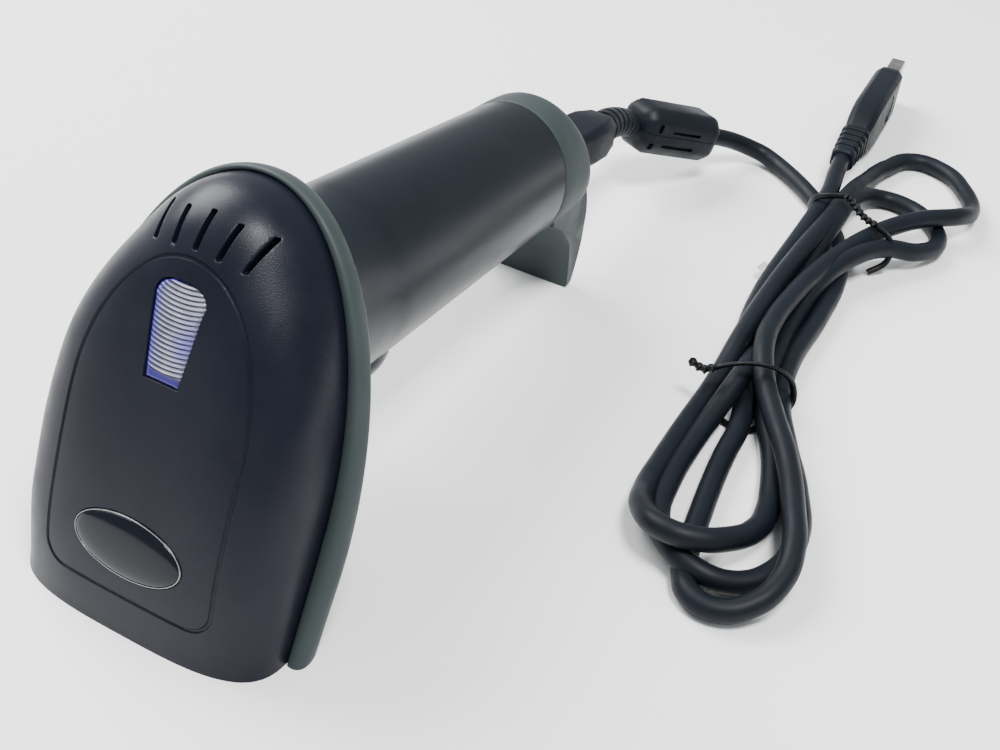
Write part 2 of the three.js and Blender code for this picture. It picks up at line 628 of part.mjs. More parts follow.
function makeSocket() {
  const [x, z0, z1] = [4.6, -4.8, 0.8];
  const housing = block([-x, x], [-3, 8], [z0, z1]);
  const mouth = block([-x + 0.7, x - 0.7], [-2, 9], [z0 + 0.7, z1 - 0.7]);
  add(handle, 'cable_socket', cut(housing, mouth), STEEL);
  add(handle, 'socket_board', block([-7.5, 7.5], [-4, 6.5], [z0 - 1.5, z0 - GAP]), BOARD_GREEN);
}
makeSocket();

// ---------------------------------------------------------------- head internals, in the head frame
function makeEngine() {
  const [x, y0, y1, z0, z1] = [16.4, 17, 38.5, -13, -3];
  const room = block([1.5 - x, x - 1.5], [y0 - 1, y1 - 1.5], [z0 + 1.5, z1 + 1]);
  const tray = cut(block([-x, x], [y0, y1], [z0, z1]), room);
  add(head, 'engine_chassis', tray, STEEL);
  const [mirrorX, mirrorY] = [-6, 26];
  const barrel = rod([2, mirrorY, -7.4], [13, mirrorY, -7.4], 3.2, 14);
  add(head, 'laser_barrel', cut(barrel, rod([1, mirrorY, -7.4], [3.2, mirrorY, -7.4], 1.4, 10)), BRASS);
  const turned = new THREE.Matrix4().makeRotationZ(THREE.MathUtils.degToRad(-45));
  const plate = placed(block([-0.6, 0.6], [-4.5, 4.5], [-10.4, -4.4]), turned);
  const axle = rod([0, 0, -11.1], [0, 0, -3.6], 1.1, 10);
  add(head, 'scan_mirror', join(plate, axle).translate([mirrorX, mirrorY, 0]), GLASS);
  add(head, 'collector_lens', rod([8, 17.5, -7.2], [8, 19.6, -7.2], 3.9, 18, 3), GLASS);
  add(head, 'photodiode', block([5, 11], [21, 22.2], [-10, -4.6]), CHIP_BLACK);
  const coilY = 33;
  const coil = rod([mirrorX, coilY, -11.1], [mirrorX, coilY, -5], 2.8, 14);
  add(head, 'mirror_coil', cut(coil, rod([mirrorX, coilY, -12], [mirrorX, coilY, -4], 1, 10)), BRASS);
}
makeEngine();

function makeIndicatorBoard() {
  add(head, 'indicator_board', block([-9, 9], [45, 59], [8.7, 9.9]), BOARD_GREEN);
  for (const [name, y] of [['indicator_led_1', 49], ['indicator_led_2', 55]]) {
    const base = block([-1.6, 1.6], [y - 1.6, y + 1.6], [10.2, 11.2]);
    add(head, name, join(base, rod([0, y, 11], [0, y, 12.2], 1.1, 10)), NYLON);
  }
}
makeIndicatorBoard();

// ---------------------------------------------------------------- screws
function screw(group, name, headAt, direction, length, shankRadius, headRadius) {
  const start = new THREE.Vector3(...headAt);
  const way = new THREE.Vector3(...direction);
  const at = (distance) => start.clone().addScaledVector(way, distance).toArray();
  const body = join(rod(at(-1.6), at(0), headRadius, 12), rod(at(-0.1), at(length), shankRadius, 10));
  const cross = rod(at(-2), at(-0.9), headRadius * 0.4, 4);
  add(group, name, cut(body, cross), STEEL);
}
COVER_SCREWS.forEach(([x, y], i) => {
  screw(head, `cover_screw_${i + 1}`, [x, y, -7.3], [0, 0, 1], 13.6, 1.15, 2.3);
});
CAP_SCREWS.forEach(([x, z], i) => {
  screw(handle, `cap_screw_${i + 1}`, [x, 4.7, z], [0, -1, 0], 10, 0.8, 2.1);
});

// ---------------------------------------------------------------- the lead: boot, relief, ferrite, cord
const BOOT_AXIS = { from: [0, 150.6, 31.2], to: [2.2, 181.2, 28.3] };

// a ring of eight points around a line, for the chamfered mouldings on the lead
function chamferedRing(centre, frame, halfX, halfZ, chamfer) {
  const [shortX, shortZ] = [halfX - chamfer, halfZ - chamfer];
  const corners = [[halfX, shortZ], [shortX, halfZ], [-shortX, halfZ], [-halfX, shortZ],
    [-halfX, -shortZ], [-shortX, -halfZ], [shortX, -halfZ], [halfX, -shortZ]];
  return corners.map(([x, z]) => centre.clone().addScaledVector(frame.right, x).addScaledVector(frame.up, z));
}

// an upright frame for pieces that lie along a line
function lineFrame(from, to, rollDegrees = 0) {
  const start = new THREE.Vector3(...from);
  const along = new THREE.Vector3(...to).sub(start);
  const length = along.length();
  along.normalize();
  const right = new THREE.Vector3().crossVectors(along, new THREE.Vector3(0, 0, 1)).normalize();
  right.applyAxisAngle(along, THREE.MathUtils.degToRad(rollDegrees));
  const up = new THREE.Vector3().crossVectors(right, along);
  return { at: (distance) => start.clone().addScaledVector(along, distance), right, up, length };
}

function makeBoot() {
  const frame = lineFrame(BOOT_AXIS.from, BOOT_AXIS.to);
  const stations = [[0, 5.6, 4.2], [13, 5.8, 4.4], [17, 6.4, 5.0], [23, 6.6, 5.2], [frame.length, 4.8, 4.6]];
  add(scanner, 'cable_boot', loft(stations.map(([distance, halfX, halfZ]) =>
    chamferedRing(frame.at(distance), frame, halfX, halfZ, 1.3))), CORD_BLACK);
}
makeBoot();

// the cord's route, one list of points chosen by hand, from the boot to the hank
const LEAD_ROUTE = [
  [2.2, 181.6, 28.3], [1.7, 187.7, 27.2], [1.5, 194, 25.3], [1.6, 200.3, 22.7], [2.3, 206.6, 20],
  [5.1, 213.2, 17.4], [8.4, 219.6, 15], [12, 225.6, 12.9], [15.6, 231, 11], [18.8, 236, 9.2],
  [21.8, 240.4, 7.1], [25.2, 243.4, 5.2], [29.2, 244.8, 3.8], [33.6, 243.6, 3], [38, 240.9, 2.7],
  [42.4, 237.4, 2.7], [47.2, 233, 2.7],
];
const RELIEF_SPAN = [0.015, 0.225];    // shares of the route's length
const FERRITE_SPAN = [0.255, 0.545];

const leadCurve = new THREE.CatmullRomCurve3(LEAD_ROUTE.map((point) => new THREE.Vector3(...point)));

// the stretch of the route between two shares of its length, as its own curve
function stretch(from, to, pieces = 8) {
  return new THREE.CatmullRomCurve3(
    Array.from({ length: pieces + 1 }, (_, i) => leadCurve.getPointAt(from + (to - from) * i / pieces)));
}

function tube(curve, radius, steps, sides) {
  const section = new THREE.Shape(Array.from({ length: sides }, (_, i) => {
    const angle = 2 * Math.PI * i / sides;
    return new THREE.Vector2(radius * Math.cos(angle), radius * Math.sin(angle));
  }));
  return solid(new THREE.ExtrudeGeometry(section, { steps, extrudePath: curve, bevelEnabled: false }));
}

function makeLead() {
  const sleeve = tube(stretch(...RELIEF_SPAN), 4.2, 8, 12);
  add(scanner, 'cable_relief', cut(sleeve, tube(leadCurve, CORD / 2 + GAP, 26, 10)), CORD_BLACK);
  add(scanner, 'cable_lead', tube(stretch(0, 0.985, 12), CORD / 2, 30, 10), CORD_BLACK);
}
makeLead();

function makeFerrite() {
  const [from, to] = FERRITE_SPAN.map((share) => leadCurve.getPointAt(share));
  const frame = lineFrame(from.toArray(), to.toArray());
  const stations = [[0, 4.6], [2.6, 6.6], [frame.length - 2.6, 6.6], [frame.length, 4.8]];
  const whole = loft(stations.map(([distance, half]) =>
    chamferedRing(frame.at(distance), frame, half, half, half * 0.42)));
  const bore = tube(leadCurve, CORD / 2 + GAP, 26, 10);
  const middle = frame.at(frame.length / 2);
  const upperSide = (sign) => solid(new THREE.BoxGeometry(60, 60, 30).translate(0, 0, sign * (15 + GAP / 2))
    .applyMatrix4(new THREE.Matrix4().makeBasis(
      frame.right, new THREE.Vector3().crossVectors(frame.up, frame.right), frame.up))
    .translate(...middle.toArray()));
  add(scanner, 'ferrite_case_upper', cut(whole, bore).intersect(upperSide(1)), CORD_BLACK);
  add(scanner, 'ferrite_case_lower', cut(whole, bore).intersect(upperSide(-1)), CORD_BLACK);
}
makeFerrite();

// ---------------------------------------------------------------- the hank, its ties and the plug
const HANK_HEIGHT = 15;
const HANK_OUTLINE = [
  [84, 60], [97, 66], [101, 80], [98, 98], [88, 116], [78, 134], [75, 152], [75.5, 178], [79, 198], [88, 212],
  [96, 228], [96, 246], [88, 262], [74, 276.5], [64, 276.5], [59, 264], [57.5, 246], [50.4, 226], [49, 206],
  [49.6, 176],
  [52.5, 146], [55.5, 124], [57, 102], [60, 84], [69, 67],
];

function hankShape() {
  const curve = new THREE.CatmullRomCurve3(HANK_OUTLINE.map(([x, y]) => new THREE.Vector3(x, y, 0)), true);
  const points = curve.getPoints(60).slice(0, -1);
  return new THREE.Shape(points.map((point) => new THREE.Vector2(point.x, point.y)));
}
add(scanner, 'cable_hank', prism(hankShape(), 0, HANK_HEIGHT), CORD_BLACK);

// a bridge of tie wire over the hank, from one side to the other
function makeTie(name, left, right, over) {
  const side = 1.3;
  const points = [
    [left[0], left[1], 2.0], [left[0], left[1], over - 3], [left[0] + 2.5, left[1], over],
    [(left[0] + right[0]) / 2, (left[1] + right[1]) / 2, over + 0.4],
    [right[0] - 2.5, right[1], over], [right[0], right[1], over - 3], [right[0], right[1], 2.0]];
  const curve = new THREE.CatmullRomCurve3(points.map((point) => new THREE.Vector3(...point)));
  add(scanner, name, tube(curve, side / 2, 20, 8), TIE_BLACK);
}
makeTie('tie_lower', [51.8, 133], [80.6, 138], HANK_HEIGHT + 1.6);
makeTie('tie_upper', [45.6, 214], [90.6, 208], HANK_HEIGHT + 1.6);

function makePlug() {
  const frame = lineFrame([52.2, 246, 8.6], [48.4, 304, 8.6], 90);
  const stations = [[0, 2.9, 2.9], [18, 4.4, 3.7], [24, 6.8, 4.1], [30, 7.9, 4.3],
    [frame.length - 1.5, 7.9, 4.3], [frame.length, 7.3, 3.7]];
  add(scanner, 'usb_plug_body', loft(stations.map(([distance, halfX, halfZ]) =>
    chamferedRing(frame.at(distance), frame, halfX, halfZ, 1.4))), CORD_BLACK);
  const shellFrom = frame.at(frame.length + GAP);
  const shellTo = frame.at(frame.length + GAP + 12.6);
  const shell = lineFrame(shellFrom.toArray(), shellTo.toArray(), 90);
  const skin = (halfX, halfZ, from, to) => loft([from, to].map((distance) =>
    chamferedRing(shell.at(distance), shell, halfX, halfZ, 0.3)));
  const tongueRoom = skin(5.5, 1.75, 2, 20);
  add(scanner, 'usb_plug_shell', cut(skin(6, 2.25, 0, shell.length), tongueRoom), STEEL);
  const tongue = loft([2.4, shell.length - 0.8].map((distance) =>
    chamferedRing(shell.at(distance).addScaledVector(shell.up, -0.55), shell, 5.1, 0.85, 0.2)));
  add(scanner, 'usb_plug_tongue', tongue, NYLON);
}
makePlug();

// the origin is under the middle of the scanner
scanner.position.y = -SCANNER_LENGTH / 2;

export default scanner;
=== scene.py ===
# Handheld barcode scanner with its tied lead: the looks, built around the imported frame.
# Shapes are made in millimetres with y = 0 at the nose lip, then brought to the frame's metres.
import json
import math

import bmesh
import bpy
import numpy as np
from mathutils import Matrix, Vector


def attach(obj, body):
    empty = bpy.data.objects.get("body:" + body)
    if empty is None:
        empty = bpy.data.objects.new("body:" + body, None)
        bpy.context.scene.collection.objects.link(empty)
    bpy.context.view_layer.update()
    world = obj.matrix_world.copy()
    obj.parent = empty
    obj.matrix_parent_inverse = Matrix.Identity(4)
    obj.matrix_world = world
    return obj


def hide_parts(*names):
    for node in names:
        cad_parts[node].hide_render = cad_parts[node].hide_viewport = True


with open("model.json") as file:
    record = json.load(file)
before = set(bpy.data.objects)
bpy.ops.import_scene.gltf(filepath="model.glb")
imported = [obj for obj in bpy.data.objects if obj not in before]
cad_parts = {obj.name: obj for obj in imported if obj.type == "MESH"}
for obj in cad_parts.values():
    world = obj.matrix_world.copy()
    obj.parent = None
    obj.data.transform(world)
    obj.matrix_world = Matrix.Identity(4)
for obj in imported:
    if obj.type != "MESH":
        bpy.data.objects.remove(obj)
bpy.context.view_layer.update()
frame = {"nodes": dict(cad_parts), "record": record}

# ------------------------------------------------------------ driving dimensions, in millimetres
SCANNER_LENGTH = 154.8
HEAD_TILT = math.radians(66.2)
HEAD_Y = 13.6
CROWN = 79.6
COVER_HALF_WIDTH = 28.4
ARCH_START = 25
ARCH_POWER = 2.07
FACE_HEIGHT = 17.5
NOSE_DROP = 5.1
WALL = 2.0
GAP = 0.3
BUMPER_HALF_WIDTH = 32.5
BUMPER_CROWN = 81.0
BUMPER_ARCH_START = 20
BUMPER_GAP = 0.03
HANDLE_DROP = math.radians(5.75)
SEAM_Y, SEAM_Z = 134.7, 35.3
SEAM_HALF_WIDTH, SEAM_HALF_DEPTH = 15.5, 16.7
CAP_LENGTH = 15.5
TRIGGER_PIVOT = (47.6, 27.2)
BOOT_FROM, BOOT_TO = (0, 150.6, 31.2), (2.2, 181.2, 28.3)
PLUG_FROM, PLUG_TO = (52.2, 246.0, 8.6), (48.4, 304.0, 8.6)
CORD = 5.0

# From the nose lip's millimetres to the frame's metres, and the head's and the handle's own axes.
ROW = Matrix.Scale(0.001, 4) @ Matrix.Translation((0, -SCANNER_LENGTH / 2, 0))
HEAD = Matrix.Translation((0, HEAD_Y, 0)) @ Matrix.Rotation(HEAD_TILT, 4, "X")
HANDLE = Matrix.Translation((0, SEAM_Y, SEAM_Z)) @ Matrix.Rotation(-HANDLE_DROP, 4, "X")
WORLD = Matrix.Identity(4)


# ------------------------------------------------------------ camera
def make_camera():
    azimuth, elevation, roll = 0.454989, 0.641985, 0.103771
    back = Vector((math.sin(azimuth) * math.cos(elevation),
                   -math.cos(azimuth) * math.cos(elevation), math.sin(elevation)))
    level = Vector((math.cos(azimuth), math.sin(azimuth), 0))
    upright = back.cross(level)
    right = math.cos(roll) * level + math.sin(roll) * upright
    up = math.cos(roll) * upright - math.sin(roll) * level
    data = bpy.data.cameras.new("camera")
    data.lens = 48.65
    data.sensor_width = 36
    data.clip_start = 0.01
    camera = bpy.data.objects.new("camera", data)
    turn = Matrix((right, up, back)).transposed().to_4x4()
    camera.matrix_world = Matrix.Translation(ROW @ Vector((126.933, -117.122, 186.653))) @ turn
    bpy.context.scene.collection.objects.link(camera)
    bpy.context.scene.camera = camera


make_camera()


# ------------------------------------------------------------ mesh helpers
def new_object(name, vertices, faces):
    mesh = bpy.data.meshes.new(name)
    mesh.from_pydata([tuple(v) for v in vertices], [], faces)
    mesh.validate()
    obj = bpy.data.objects.new(name, mesh)
    bpy.context.scene.collection.objects.link(obj)
    tidy = bmesh.new()
    tidy.from_mesh(mesh)
    bmesh.ops.remove_doubles(tidy, verts=tidy.verts, dist=1e-5)
    bmesh.ops.recalc_face_normals(tidy, faces=tidy.faces)
    tidy.to_mesh(mesh)
    tidy.free()
    return obj


def loft(name, rings, at=WORLD, looped=False):
    """A closed skin over rings of equal point counts, with fan ends, or joined into a loop."""
    count = len(rings[0])
    vertices = [at @ Vector(point) for ring in rings for point in ring]
    faces = []
    last = len(rings) if looped else len(rings) - 1
    for ring in range(last):
        after = (ring + 1) % len(rings)
        for i in range(count):
            j = (i + 1) % count
            faces.append((ring * count + i, ring * count + j, after * count + j, after * count + i))
    if not looped:
        for ring in (0, len(rings) - 1):
            centre = sum((vertices[ring * count + i] for i in range(count)), Vector()) / count
            vertices.append(centre)
            faces += [(ring * count + i, ring * count + (i + 1) % count, len(vertices) - 1)
                      for i in range(count)]
    return new_object(name, vertices, faces)


def apply_modifiers(obj):
    depsgraph = bpy.context.evaluated_depsgraph_get()
    mesh = bpy.data.meshes.new_from_object(obj.evaluated_get(depsgraph))
    obj.modifiers.clear()
    obj.data = mesh
    return obj


def combine(target, cutters, operation="DIFFERENCE"):
    """Cuts the cutters from target, or joins or intersects them, and removes them."""
    for cutter in cutters:
        modifier = target.modifiers.new("combine", "BOOLEAN")
        modifier.operation = operation
        modifier.solver = "EXACT"
        modifier.object = cutter
        apply_modifiers(target)
        bpy.data.objects.remove(cutter)
    return target


def copy_of(obj):
    twin = bpy.data.objects.new(obj.name + "_copy", obj.data.copy())
    bpy.context.scene.collection.objects.link(twin)
    return twin


def box_solid(x, y, z, at=WORLD):
    corners = [(a, b, c) for a in x for b in y for c in z]
    faces = [(0, 1, 3, 2), (4, 6, 7, 5), (0, 4, 5, 1), (2, 3, 7, 6), (0, 2, 6, 4), (1, 5, 7, 3)]
    return new_object("box", [at @ Vector(c) for c in corners], faces)


def rod(start, end, radius, at=WORLD, sides=32, end_radius=None):
    axis = Vector(end) - Vector(start)
    side = axis.orthogonal().normalized()
    other = axis.normalized().cross(side)
    rings = []
    for share, size in ((0, radius), (1, end_radius or radius)):
        angles = (2 * math.pi * i / sides for i in range(sides))
        rings.append([Vector(start) + axis * share + size * (math.cos(a) * side + math.sin(a) * other)
                      for a in angles])
    return loft("rod", rings, at)


def soften(obj, width, angle=40, segments=3):
    """Rounds the edges that are sharper than angle."""
    modifier = obj.modifiers.new("soften", "BEVEL")
    modifier.width = width
    modifier.segments = segments
    modifier.limit_method = "ANGLE"
    modifier.angle_limit = math.radians(angle)
    modifier.use_clamp_overlap = True
    return apply_modifiers(obj)


def refine(obj, levels=2):
    modifier = obj.modifiers.new("refine", "SUBSURF")
    modifier.levels = levels
    modifier.render_levels = levels
    return apply_modifiers(obj)


def finish_piece(obj, name, material, nodes=(), sharp=35, body="scanner"):
    """Brings a piece to the frame, gives it its material and shading, ties it to its body and hides the CAD
    nodes it stands for.
    """
    obj.name = name
    obj.data.name = name
    if obj.type == "MESH":
        obj.data.transform(ROW)
        obj.data.materials.clear()
        obj.data.materials.append(material)
        obj.data.shade_smooth()
        obj.data.set_sharp_from_angle(angle=math.radians(sharp))
    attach(obj, body)
    if nodes:
        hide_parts(*nodes)
    return obj


# ------------------------------------------------------------ materials
def nodes_of(name):
    material = bpy.data.materials.new(name)
    material.use_nodes = True
    tree = material.node_tree
    return material, tree, tree.nodes["Principled BSDF"]


def noise(tree, size, detail=3.0, stretch=(1, 1, 1)):
    """A noise pattern whose features are about size metres across."""
    place = tree.nodes.new("ShaderNodeTexCoord")
    mapping = tree.nodes.new("ShaderNodeMapping")
    mapping.inputs["Scale"].default_value = stretch
    pattern = tree.nodes.new("ShaderNodeTexNoise")
    pattern.inputs["Scale"].default_value = 1 / size
    pattern.inputs["Detail"].default_value = detail
    tree.links.new(place.outputs["Object"], mapping.inputs["Vector"])
    tree.links.new(mapping.outputs["Vector"], pattern.inputs["Vector"])
    return pattern.outputs["Fac"]


def ranged(tree, value, low, high, source_low=0.3, source_high=0.7):
    node = tree.nodes.new("ShaderNodeMapRange")
    node.inputs["From Min"].default_value = source_low
    node.inputs["From Max"].default_value = source_high
    node.inputs["To Min"].default_value = low
    node.inputs["To Max"].default_value = high
    tree.links.new(value, node.inputs["Value"])
    return node.outputs["Result"]


def mixed(tree, factor, first, second):
    node = tree.nodes.new("ShaderNodeMix")
    node.data_type = "RGBA"
    tree.links.new(factor, node.inputs["Factor"])
    for socket, colour in ((node.inputs["A"], first), (node.inputs["B"], second)):
        if hasattr(colour, "is_linked"):
            tree.links.new(colour, socket)
        else:
            socket.default_value = (*colour, 1)
    return node.outputs["Result"]


def bumped(tree, shader, height, distance):
    node = tree.nodes.new("ShaderNodeBump")
    node.inputs["Distance"].default_value = distance
    node.inputs["Strength"].default_value = 1
    tree.links.new(height, node.inputs["Height"])
    tree.links.new(node.outputs["Normal"], shader.inputs["Normal"])


def worn_edges(tree, colour, edge_colour):
    """Lightens convex edges, as handling does."""
    geometry = tree.nodes.new("ShaderNodeNewGeometry")
    edge = ranged(tree, geometry.outputs["Pointiness"], 0.0, 0.6, 0.56, 0.72)
    return mixed(tree, edge, colour, edge_colour)


def moulded(name, colour, rough, grain_size, grain_depth, tint=0.12, spread=0.06, wear=1.35,
            specular=0.5):
    """Moulded plastic or rubber: fine grain, slow changes of tone and gloss, paler edges."""
    material, tree, shader = nodes_of(name)
    shade = tuple(c * (1 - tint) for c in colour)
    light = tuple(min(c * (1 + tint), 1) for c in colour)
    tone = mixed(tree, ranged(tree, noise(tree, 0.018), 0, 1), shade, light)
    pale = tuple(min(c * wear, 1) for c in colour)
    tree.links.new(worn_edges(tree, tone, pale), shader.inputs["Base Color"])
    gloss = ranged(tree, noise(tree, 0.006, 5), rough - spread, rough + spread)
    tree.links.new(gloss, shader.inputs["Roughness"])
    bumped(tree, shader, noise(tree, grain_size, 2), grain_depth)
    shader.inputs["Specular IOR Level"].default_value = specular
    return material


def metal(name, colour, rough, stretch=(1, 1, 12)):
    """Plated or drawn metal with fine directional marks and a little staining."""
    material, tree, shader = nodes_of(name)
    stained = tuple(c * 0.72 for c in colour)
    tone = mixed(tree, ranged(tree, noise(tree, 0.004, 4), 0, 1), stained, colour)
    tree.links.new(tone, shader.inputs["Base Color"])
    marks = noise(tree, 0.0012, 3, stretch)
    tree.links.new(ranged(tree, marks, rough * 0.7, rough * 1.3), shader.inputs["Roughness"])
    bumped(tree, shader, marks, 0.000008)
    shader.inputs["Metallic"].default_value = 1
    return material


def clear(name, colour):
    """Clear moulded pane with faint smears."""
    rough = 0.03
    material, tree, shader = nodes_of(name)
    smear = noise(tree, 0.01, 4)
    tree.links.new(ranged(tree, smear, rough, rough + 0.08), shader.inputs["Roughness"])
    darker = tuple(c * 0.85 for c in colour)
    tree.links.new(mixed(tree, smear, darker, colour), shader.inputs["Base Color"])
    shader.inputs["Transmission Weight"].default_value = 0.9
    shader.inputs["IOR"].default_value = 1.49
    return material


def board(name):
    """Solder mask with darker copper areas under it."""
    material, tree, shader = nodes_of(name)
    place = tree.nodes.new("ShaderNodeTexCoord")
    tracks = tree.nodes.new("ShaderNodeTexBrick")
    tracks.inputs["Scale"].default_value = 400
    tracks.inputs["Color1"].default_value = (0.006, 0.06, 0.022, 1)
    tracks.inputs["Color2"].default_value = (0.01, 0.09, 0.035, 1)
    tracks.inputs["Mortar"].default_value = (0.02, 0.14, 0.06, 1)
    tree.links.new(place.outputs["Object"], tracks.inputs["Vector"])
    tree.links.new(tracks.outputs["Color"], shader.inputs["Base Color"])
    tree.links.new(ranged(tree, noise(tree, 0.003), 0.3, 0.5), shader.inputs["Roughness"])
    bumped(tree, shader, tracks.outputs["Fac"], 0.00003)
    return material


def mesh_value(tree, name):
    node = tree.nodes.new("ShaderNodeAttribute")
    node.attribute_name = name
    return node.outputs["Fac"]


def lens_material():
    """Milky ribbed lens with painted highlights on its rib crests and painted shade in its valleys, and
    painted violet shade with a faint painted glow at its left edge, along its foot and in a spot.
    """
    material, tree, shader = nodes_of("lens_white")
    violet_shade_and_glow, crest_highlight = mesh_value(tree, "violet_shade_and_glow"), mesh_value(tree, "crest_highlight")
    cloudy = mixed(tree, ranged(tree, noise(tree, 0.003, 3), 0, 1), (0.24, 0.25, 0.32), (0.5, 0.52, 0.6))
    # Rib crests paler and valleys darker: painted highlight on the crests, painted shade in the valleys.
    white = mixed(tree, crest_highlight, (0.05, 0.05, 0.08), cloudy)
    # Painted violet shade, darker than the white, for the left edge, the foot and a spot.
    violet_shade_colour = mixed(tree, crest_highlight, (0.022, 0.016, 0.13), (0.09, 0.07, 0.42))
    tree.links.new(mixed(tree, violet_shade_and_glow, white, violet_shade_colour), shader.inputs["Base Color"])
    # Painted glow: the lens emits faintly, most on the rib crests inside the painted violet shade; it is no
    # lamp.
    light = mixed(tree, crest_highlight, (0.008, 0.006, 0.06), (0.05, 0.036, 0.26))
    tree.links.new(mixed(tree, violet_shade_and_glow, (0.01, 0.01, 0.014), light), shader.inputs["Emission Color"])
    tree.links.new(ranged(tree, noise(tree, 0.001), 0.1, 0.22), shader.inputs["Roughness"])
    shader.inputs["Emission Strength"].default_value = 0.7
    return material


HEAD_BLACK = moulded("head_black", (0.0048, 0.0060, 0.0120), 0.36, 0.00026, 0.00003, specular=0.17)
SATIN_BLACK = moulded("satin_black", (0.0060, 0.0084, 0.0120), 0.32, 0.0008, 0.000003,
                      spread=0.03, specular=0.17)
RUBBER = moulded("grey_green_rubber", (0.028, 0.038, 0.039), 0.55, 0.0002, 0.00001, specular=0.25)
BADGE = moulded("badge_black", (0.004, 0.005, 0.009), 0.1, 0.001, 0.000001, spread=0.03, specular=0.2)
CHROME = metal("chrome_trim", (0.2, 0.2, 0.21), 0.24, (1, 1, 1))
STEEL = metal("steel", (0.4, 0.41, 0.39), 0.34)
BRASS = metal("brass", (0.5, 0.33, 0.12), 0.3)
WINDOW = clear("window_red", (0.5, 0.02, 0.04))
GLASS = clear("clear_glass", (0.8, 0.88, 0.9))
BOARD = board("board_green")
CHIP = moulded("chip_black", (0.014, 0.014, 0.016), 0.5, 0.0003, 0.00001)
NYLON = moulded("nylon_white", (0.5, 0.49, 0.45), 0.45, 0.0004, 0.000006, tint=0.05, wear=1.1)
WRAP = moulded("cell_wrap", (0.03, 0.14, 0.33), 0.28, 0.002, 0.00001)
CABLE = moulded("cord_black", (0.0044, 0.0064, 0.0105), 0.5, 0.0006, 0.000006, tint=0.2, specular=0.16)
TIE = moulded("tie_black", (0.003, 0.0036, 0.005), 0.4, 0.0003, 0.00001, specular=0.2)
LENS_LOOK = lens_material()

NODE_LOOKS = {
    "black_grained": HEAD_BLACK, "black_satin": SATIN_BLACK, "grey_green_rubber": RUBBER,
    "lens_white": NYLON, "window_red": WINDOW, "badge_black": BADGE, "chrome_trim": CHROME,
    "steel": STEEL, "brass": BRASS, "clear_glass": GLASS, "board_green": BOARD,
    "chip_black": CHIP, "nylon_white": NYLON, "cell_wrap": WRAP, "cord_black": CABLE,
    "tie_black": TIE,
}


def dress_nodes():
    for part in frame["record"]["subparts"]:
        node = frame["nodes"][part["node"]]
        node.data.materials.clear()
        node.data.materials.append(NODE_LOOKS[part["material_slot"]])


dress_nodes()

# ------------------------------------------------------------ the cord
# The route's points: out of the boot, through the relief and the ferrite, down.
LEAD_ROUTE = [
    (2.2, 181.6, 28.3), (1.7, 187.7, 27.2), (1.5, 194, 25.3), (1.6, 200.3, 22.7), (2.3, 206.6, 20),
    (5.1, 213.2, 17.4), (8.4, 219.6, 15), (12, 225.6, 12.9), (15.6, 231, 11), (18.8, 236, 9.2),
    (21.8, 240.4, 7.1), (25.2, 243.4, 5.2), (29.2, 244.8, 3.8), (33.6, 243.6, 3.0), (38, 240.9, 2.7),
    (42.4, 237.4, 2.7), (47.2, 233, 2.7),
]
# Three turns of the hank: under the upper tie, down the right, round the lower loop, up the left.
HANK_ROUTE = [
    (53, 227, 2.6), (59.5, 218, 2.6), (65.5, 207, 2.6), (70, 193, 2.6), (72, 172, 2.6),
    (72.6, 150, 2.6), (76, 133, 2.6), (82.5, 119, 2.6), (90, 105, 2.6), (94.6, 92, 2.6),
    (94, 80, 2.6), (88.5, 72.5, 2.8), (80.5, 70, 4.6), (73.4, 73.5, 5.2), (68.6, 81, 3.5),
    (66, 93, 2.6), (65, 107, 2.6), (65.5, 120, 4.5), (66.3, 132, 7.2), (64.6, 150, 3.2),
    (63, 170, 2.6), (62, 190, 3), (61.6, 212, 6.8), (62, 232, 6), (66, 242, 3),
    (74, 243, 2.6), (82, 238, 2.6), (87.5, 227, 2.8), (84.5, 216, 4.5), (77.5, 208, 7),
    (72, 198, 7.6), (68, 185, 6), (67, 170, 2.8), (69, 150, 2.6), (71.5, 136, 2.6),
    (76, 124, 2.6), (81, 114, 2.6), (84.6, 104, 2.8), (86.8, 95, 3.4), (87.2, 86.6, 5.2),
    (84.6, 78, 8), (79, 72.2, 9.7), (72.4, 71.4, 9.8), (66.6, 76.4, 7.6), (63.2, 86, 4.2), (61.8, 99, 2.6),
    (61.2, 113, 2.6), (61, 130, 3.4), (60.4, 148, 7), (59.4, 170, 7.4), (59.4, 192, 7.6),
    (60, 212, 7.8), (60, 232, 7.2), (60.6, 247, 4.6), (62.4, 262, 2.8), (68, 272.6, 2.6),
    (77.4, 272, 2.6), (86, 263, 2.6), (91, 250, 3.5), (89, 238, 6.8), (82, 229.5, 7.6),
    (76, 220, 7.6), (71.6, 209, 7.6), (68.2, 196, 7.6), (66, 182, 7.8), (65, 168, 8.2), (65.2, 154, 8.8),
    (67.2, 142, 9.8), (71.5, 131, 8.8), (77.5, 121, 8), (85.5, 108, 7.8), (92, 94, 7.6),
    (96, 83, 7), (96.6, 75, 5.6), (94, 68, 4), (88.6, 64, 2.8), (83, 64.6, 2.6), (79.2, 69.6, 2.6),
    (77.2, 77, 2.6), (75.6, 86, 2.6), (73.8, 97, 2.6), (72.4, 108, 2.6), (71.4, 119, 2.6),
    (69, 128, 2.6), (65.5, 136, 2.6), (62, 145, 2.6), (58.8, 156, 2.6), (56.4, 170, 2.6),
    (55.2, 185, 2.6), (55.2, 200, 4), (55.6, 214, 6.6), (55.2, 227, 8), (53.4, 238, 8.6),
    (52, 248, 8.6),
]


def smooth_path(points, steps):
    """Catmull-Rom points through the given ones, steps to each stretch."""
    points = [Vector(p) for p in points]
    ends = [2 * points[0] - points[1], *points, 2 * points[-1] - points[-2]]
    path = []
    for before, start, end, after in zip(ends, ends[1:], ends[2:], ends[3:]):
        for i in range(steps):
            t = i / steps
            path.append(0.5 * (2 * start + (end - before) * t
                               + (2 * before - 5 * start + 4 * end - after) * t * t
                               + (3 * start - before - 3 * end + after) * t ** 3))
    return path + [points[-1]]


